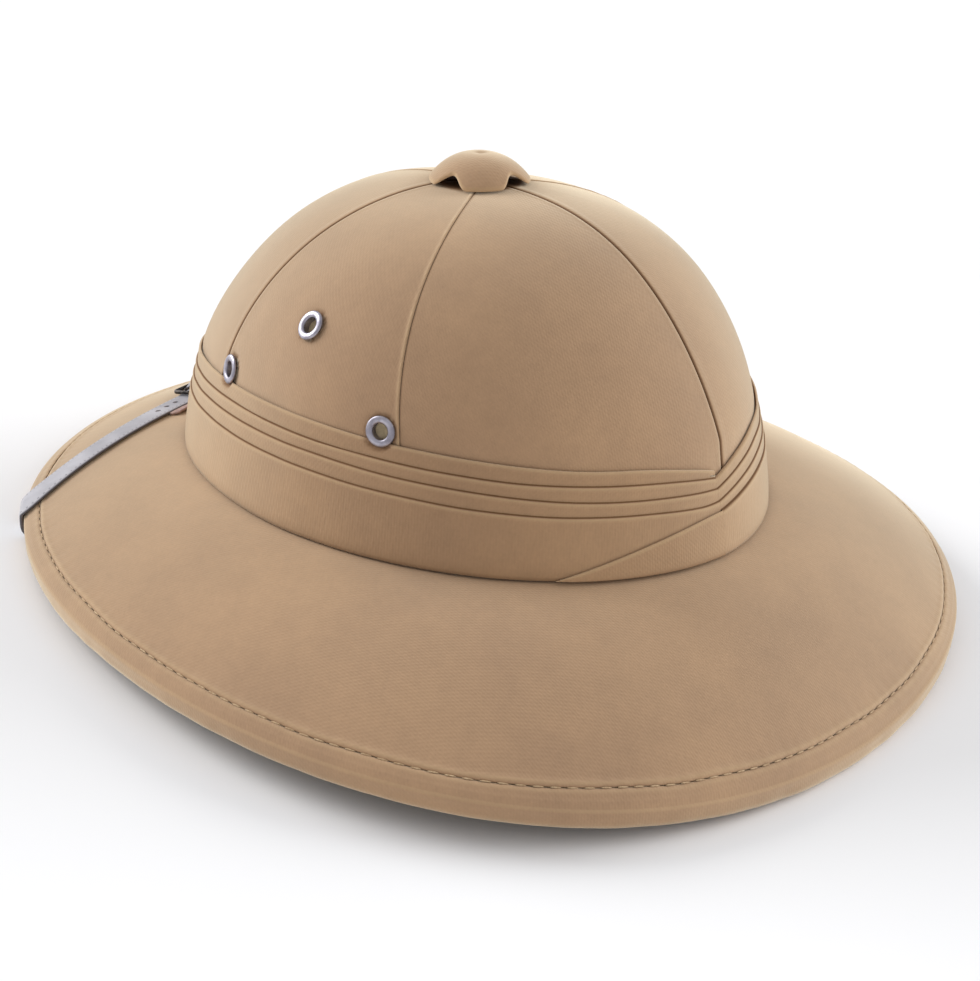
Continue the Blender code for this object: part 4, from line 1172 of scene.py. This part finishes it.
# Punched holes: a row down the tongue's middle, each a dark round hole with a crushed rim.

PUNCHES = (0.0310, 0.0362, 0.0414)
PUNCH_RADIUS = 0.0011

punch_tools = []
for x in PUNCHES:
    middle, facing, _ = over_brim(x, low)
    bm = bmesh.new()
    bmesh.ops.create_cone(bm, cap_ends=True, segments=24, radius1=PUNCH_RADIUS, radius2=PUNCH_RADIUS,
                          depth=2 * STRAP)
    bm.transform(REST @ frame_at(middle, facing))
    tool_mesh = bpy.data.meshes.new("punch")
    bm.to_mesh(tool_mesh)
    bm.free()
    tool = bpy.data.objects.new("punch", tool_mesh)
    bpy.context.scene.collection.objects.link(tool)
    punch = tongue.modifiers.new("punch", "BOOLEAN")
    punch.solver = "EXACT"
    punch.object = tool
    punch_tools.append(tool)
bpy.context.view_layer.update()
punched = bpy.data.meshes.new_from_object(tongue.evaluated_get(bpy.context.evaluated_depsgraph_get()))
tongue.modifiers.clear()
tongue.data = punched
for tool in punch_tools:
    bpy.data.objects.remove(tool, do_unlink=True)

# Strap tab: a short tab of undyed leather, flesh side up, which lies on the brim along the strap's inner
# side where the strap comes to its buckle.

TAB_START = 0.0215
TAB_END = 0.0415
TAB_ROUNDING = 0.0025
TAB_REACH = 0.0036
TAB_LEATHER = 0.0008

tab_finish, tab_shader = new_finish("undyed_leather_flesh_side", "#a88a80", 0.8)
tab_where = add_node(tab_finish, "TexCoord", {}, "Object")
tab_nap = add_node(tab_finish, "TexNoise", {"Vector": tab_where, "Scale": 520.0, "Detail": 5.0})
tab_raised = ranged(tab_finish, tab_nap, 0.3, 0.7, 0.0, 1.0)
tab_tone = mixed(tab_finish, tab_raised, linear("#8d6f65"), linear("#c2a59b"))
tab_finish.node_tree.links.new(tab_tone, tab_shader.inputs["Base Color"])
set_bump(tab_finish, tab_shader, tab_nap, 0.0002, 0.6)


def tab_place(x, side):
    """A point on top of the tab: side 0 next to the strap, 1 at its free edge."""
    middle, facing, across = over_brim(x, 0.0)
    inward = across.normalized() * math.copysign(1.0, across.y)
    end = min((x - TAB_START) / TAB_ROUNDING, (TAB_END - x) / TAB_ROUNDING, 1.0)
    reach = STRAP_WIDTH / 2 + 0.0002 + TAB_REACH * side * math.sqrt(max(end * (2 - end), 0.0))
    curl = 0.0005 * math.sin(math.pi * (x - TAB_START) / 0.020) * side
    lift = 0.0011 + curl + 0.0001 * bump_at(middle, 0.003)
    return middle + inward * reach + facing * lift, (x, reach), 0.0


tab_mesh = drawn_grid(spread(TAB_START + 0.0002, TAB_END - 0.0002, 28), spread(0.0, 1.0, 6), tab_place)
bmesh.ops.recalc_face_normals(tab_mesh, faces=tab_mesh.faces)
tab = add_piece("strap_tab", tab_mesh, tab_finish, "grey_leather")
tab_wall = tab.modifiers.new("wall", "SOLIDIFY")
tab_wall.thickness = TAB_LEATHER

# Buckle: a frame of blackened steel wire with a prong that goes through the tongue, and the two rivets of
# the same steel that hold the strap inside the crown.

BUCKLE_CORNER = 0.0016
PRONG_WIRE = 0.0006
RIVET_RADIUS = 0.0034
RIVET_DOME = 0.0010
RIVET_SHANK = 0.0014


def black_steel():
    """Blackened steel wire, rubbed bright brown-grey where the strap slides over it."""
    finish, shader = new_finish("blackened_steel", "#3c3836", 0.42, 0.9)
    where = add_node(finish, "TexCoord", {}, "Object")
    rub = add_node(finish, "TexNoise", {"Vector": where, "Scale": 420.0, "Detail": 4.0})
    tone = mixed(finish, ranged(finish, rub, 0.45, 0.75, 0.0, 1.0), linear("#2f2b2a"), linear("#6f6862"))
    finish.node_tree.links.new(tone, shader.inputs["Base Color"])
    set_bump(finish, shader, rub, 0.00004, 0.5)
    return finish


def tube(points, radius, is_loop, sides=16):
    """A round wire through these points, its ends closed by domes where it isn't a loop."""
    count = len(points)
    bm = bmesh.new()
    rings = []
    for i, point in enumerate(points):
        before = points[i - 1] if i or is_loop else point
        after = points[(i + 1) % count] if i < count - 1 or is_loop else point
        ahead = (after - before).normalized()
        side = ahead.cross(UP).normalized()
        lift = side.cross(ahead)
        size = radius if is_loop or 0 < i < count - 1 else radius * 0.55
        rings.append([bm.verts.new(REST @ (point + (side * math.cos(t) + lift * math.sin(t)) * size))
                      for t in spread(0.0, 2 * math.pi, sides)[:-1]])
    for one, other in zip(rings, rings[1:] + rings[:1] if is_loop else rings[1:]):
        for j in range(sides):
            k = (j + 1) % sides
            bm.faces.new((one[j], one[k], other[k], other[j]))
    if not is_loop:
        bm.faces.new(rings[0])
        bm.faces.new(rings[-1])
    bmesh.ops.recalc_face_normals(bm, faces=bm.faces)
    return bm


steel = black_steel()
reach = STRAP_WIDTH / 2 + 0.0006 + BUCKLE_WIRE
corners = []
for x, side in ((BUCKLE_X, 1), (BUCKLE_X, -1), (buckle_rim, -1), (buckle_rim, 1)):
    middle, _, across = over_brim(x, BAR_HEIGHT)
    corners.append(middle + across.normalized() * side * reach)
loop_points = []
for before, corner, after in zip(corners[-1:] + corners[:-1], corners, corners[1:] + corners[:1]):
    start = corner + (before - corner).normalized() * BUCKLE_CORNER
    end = corner + (after - corner).normalized() * BUCKLE_CORNER
    for share in spread(0.0, 1.0, 6):
        loop_points.append(start.lerp(corner, share).lerp(corner.lerp(end, share), share))
add_piece("strap_buckle_frame", tube(loop_points, BUCKLE_WIRE, True), steel, "dark_steel", "strap_buckle")

prong_height = BAR_HEIGHT + BUCKLE_WIRE + GAP + PRONG_WIRE
heel = over_brim(BUCKLE_X - BUCKLE_WIRE, prong_height)[0]
tip = over_brim(buckle_rim + 0.0015, prong_height)[0]
prong_points = [heel.lerp(tip, share) for share in (0.0, 0.02, 0.3, 0.6, 0.9, 0.98, 1.0)]
add_piece("strap_buckle_prong", tube(prong_points, PRONG_WIRE, False), steel, "dark_steel", "buckle_prong")

rivet_top = STRAP_DEPTH + STRAP / 2 + GAP
rivet_profile = [(0.0, rivet_top + RIVET_DOME)]
for turn in (70.0, 50.0, 30.0, 12.0, 0.0):
    radius = RIVET_RADIUS * math.cos(math.radians(turn))
    rivet_profile.append((radius, rivet_top + RIVET_DOME * math.sin(math.radians(turn))))
rivet_profile += [(RIVET_SHANK, rivet_top), (RIVET_SHANK, INSIDE - 0.0014), (0.0, INSIDE - 0.0014)]
for name, angle in (("left", ANCHOR), ("right", 180 - ANCHOR)):
    height = foot_height(angle) + ANCHOR_HEIGHT
    placement = frame_at(crown_point(angle, height), -crown_normal(angle, height))
    add_piece("inside_rivet_" + name, spun(rivet_profile, False, 40, placement), steel, "dark_steel",
              "strap_rivet_" + name)

# Floor: a wide plain near-white sheet, as in a catalogue photograph.

floor_mesh = bmesh.new()
bmesh.ops.create_grid(floor_mesh, x_segments=8, y_segments=8, size=6.0)
floor_data = bpy.data.meshes.new("floor")
floor_mesh.to_mesh(floor_data)
floor_mesh.free()
floor_finish, floor_shader = new_finish("white_paper", "#f6f6f6", 0.9)
floor_where = add_node(floor_finish, "TexCoord", {}, "Object")
floor_tone = add_node(floor_finish, "TexNoise", {"Vector": floor_where, "Scale": 3.0, "Detail": 2.0})
floor_colour = mixed(floor_finish, floor_tone, linear("#f5f5f6"), linear("#f8f8f8"))
floor_finish.node_tree.links.new(floor_colour, floor_shader.inputs["Base Color"])
floor_data.materials.append(floor_finish)
floor = bpy.data.objects.new("floor", floor_data)
bpy.context.scene.collection.objects.link(floor)

# Light: a soft key from the upper left, a little behind the helmet, and a plain white room.

key_light = bpy.data.lights.new("key", "SUN")
key_light.energy = 2.35
key_light.angle = math.radians(36.0)
key = bpy.data.objects.new("key", key_light)
key.rotation_mode = "QUATERNION"
key.rotation_quaternion = Vector((0.24, -0.84, 0.36)).to_track_quat("Z", "Y")
bpy.context.scene.collection.objects.link(key)

side_light = bpy.data.lights.new("side", "SUN")
side_light.energy = 2.0
side_light.angle = math.radians(44.0)
side = bpy.data.objects.new("side", side_light)
side.rotation_mode = "QUATERNION"
side.rotation_quaternion = Vector((-0.80, 0.42, 0.33)).to_track_quat("Z", "Y")
bpy.context.scene.collection.objects.link(side)

room = bpy.data.worlds.new("white_room")
room.use_nodes = True
room.node_tree.nodes["Background"].inputs["Color"].default_value = linear("#fbfcff")
room.node_tree.nodes["Background"].inputs["Strength"].default_value = 0.63
bpy.context.scene.world = room

# Camera: where the photograph was taken from, over the wearer's left shoulder.

turn = math.radians(129.46)
rise = math.radians(22.77)
roll = math.radians(2.00)
back = Vector((math.sin(turn) * math.cos(rise), -math.cos(turn) * math.cos(rise), math.sin(rise)))
right = Vector((math.cos(turn), math.sin(turn), 0.0))
upward = back.cross(right)
rolled_right = right * math.cos(roll) + upward * math.sin(roll)
rolled_up = upward * math.cos(roll) - right * math.sin(roll)
facing = Matrix((rolled_right, rolled_up, back)).transposed().to_4x4()
camera_data = bpy.data.cameras.new("camera")
camera_data.lens = 71.37
camera_data.sensor_width = 36.0
camera_data.clip_start = 0.01
camera = bpy.data.objects.new("camera", camera_data)
camera.matrix_world = REST @ Matrix.Translation((0.49517, 0.42150, 0.25962)) @ facing
bpy.context.scene.collection.objects.link(camera)
bpy.context.scene.camera = camera
bpy.context.scene.view_settings.view_transform = "Standard"
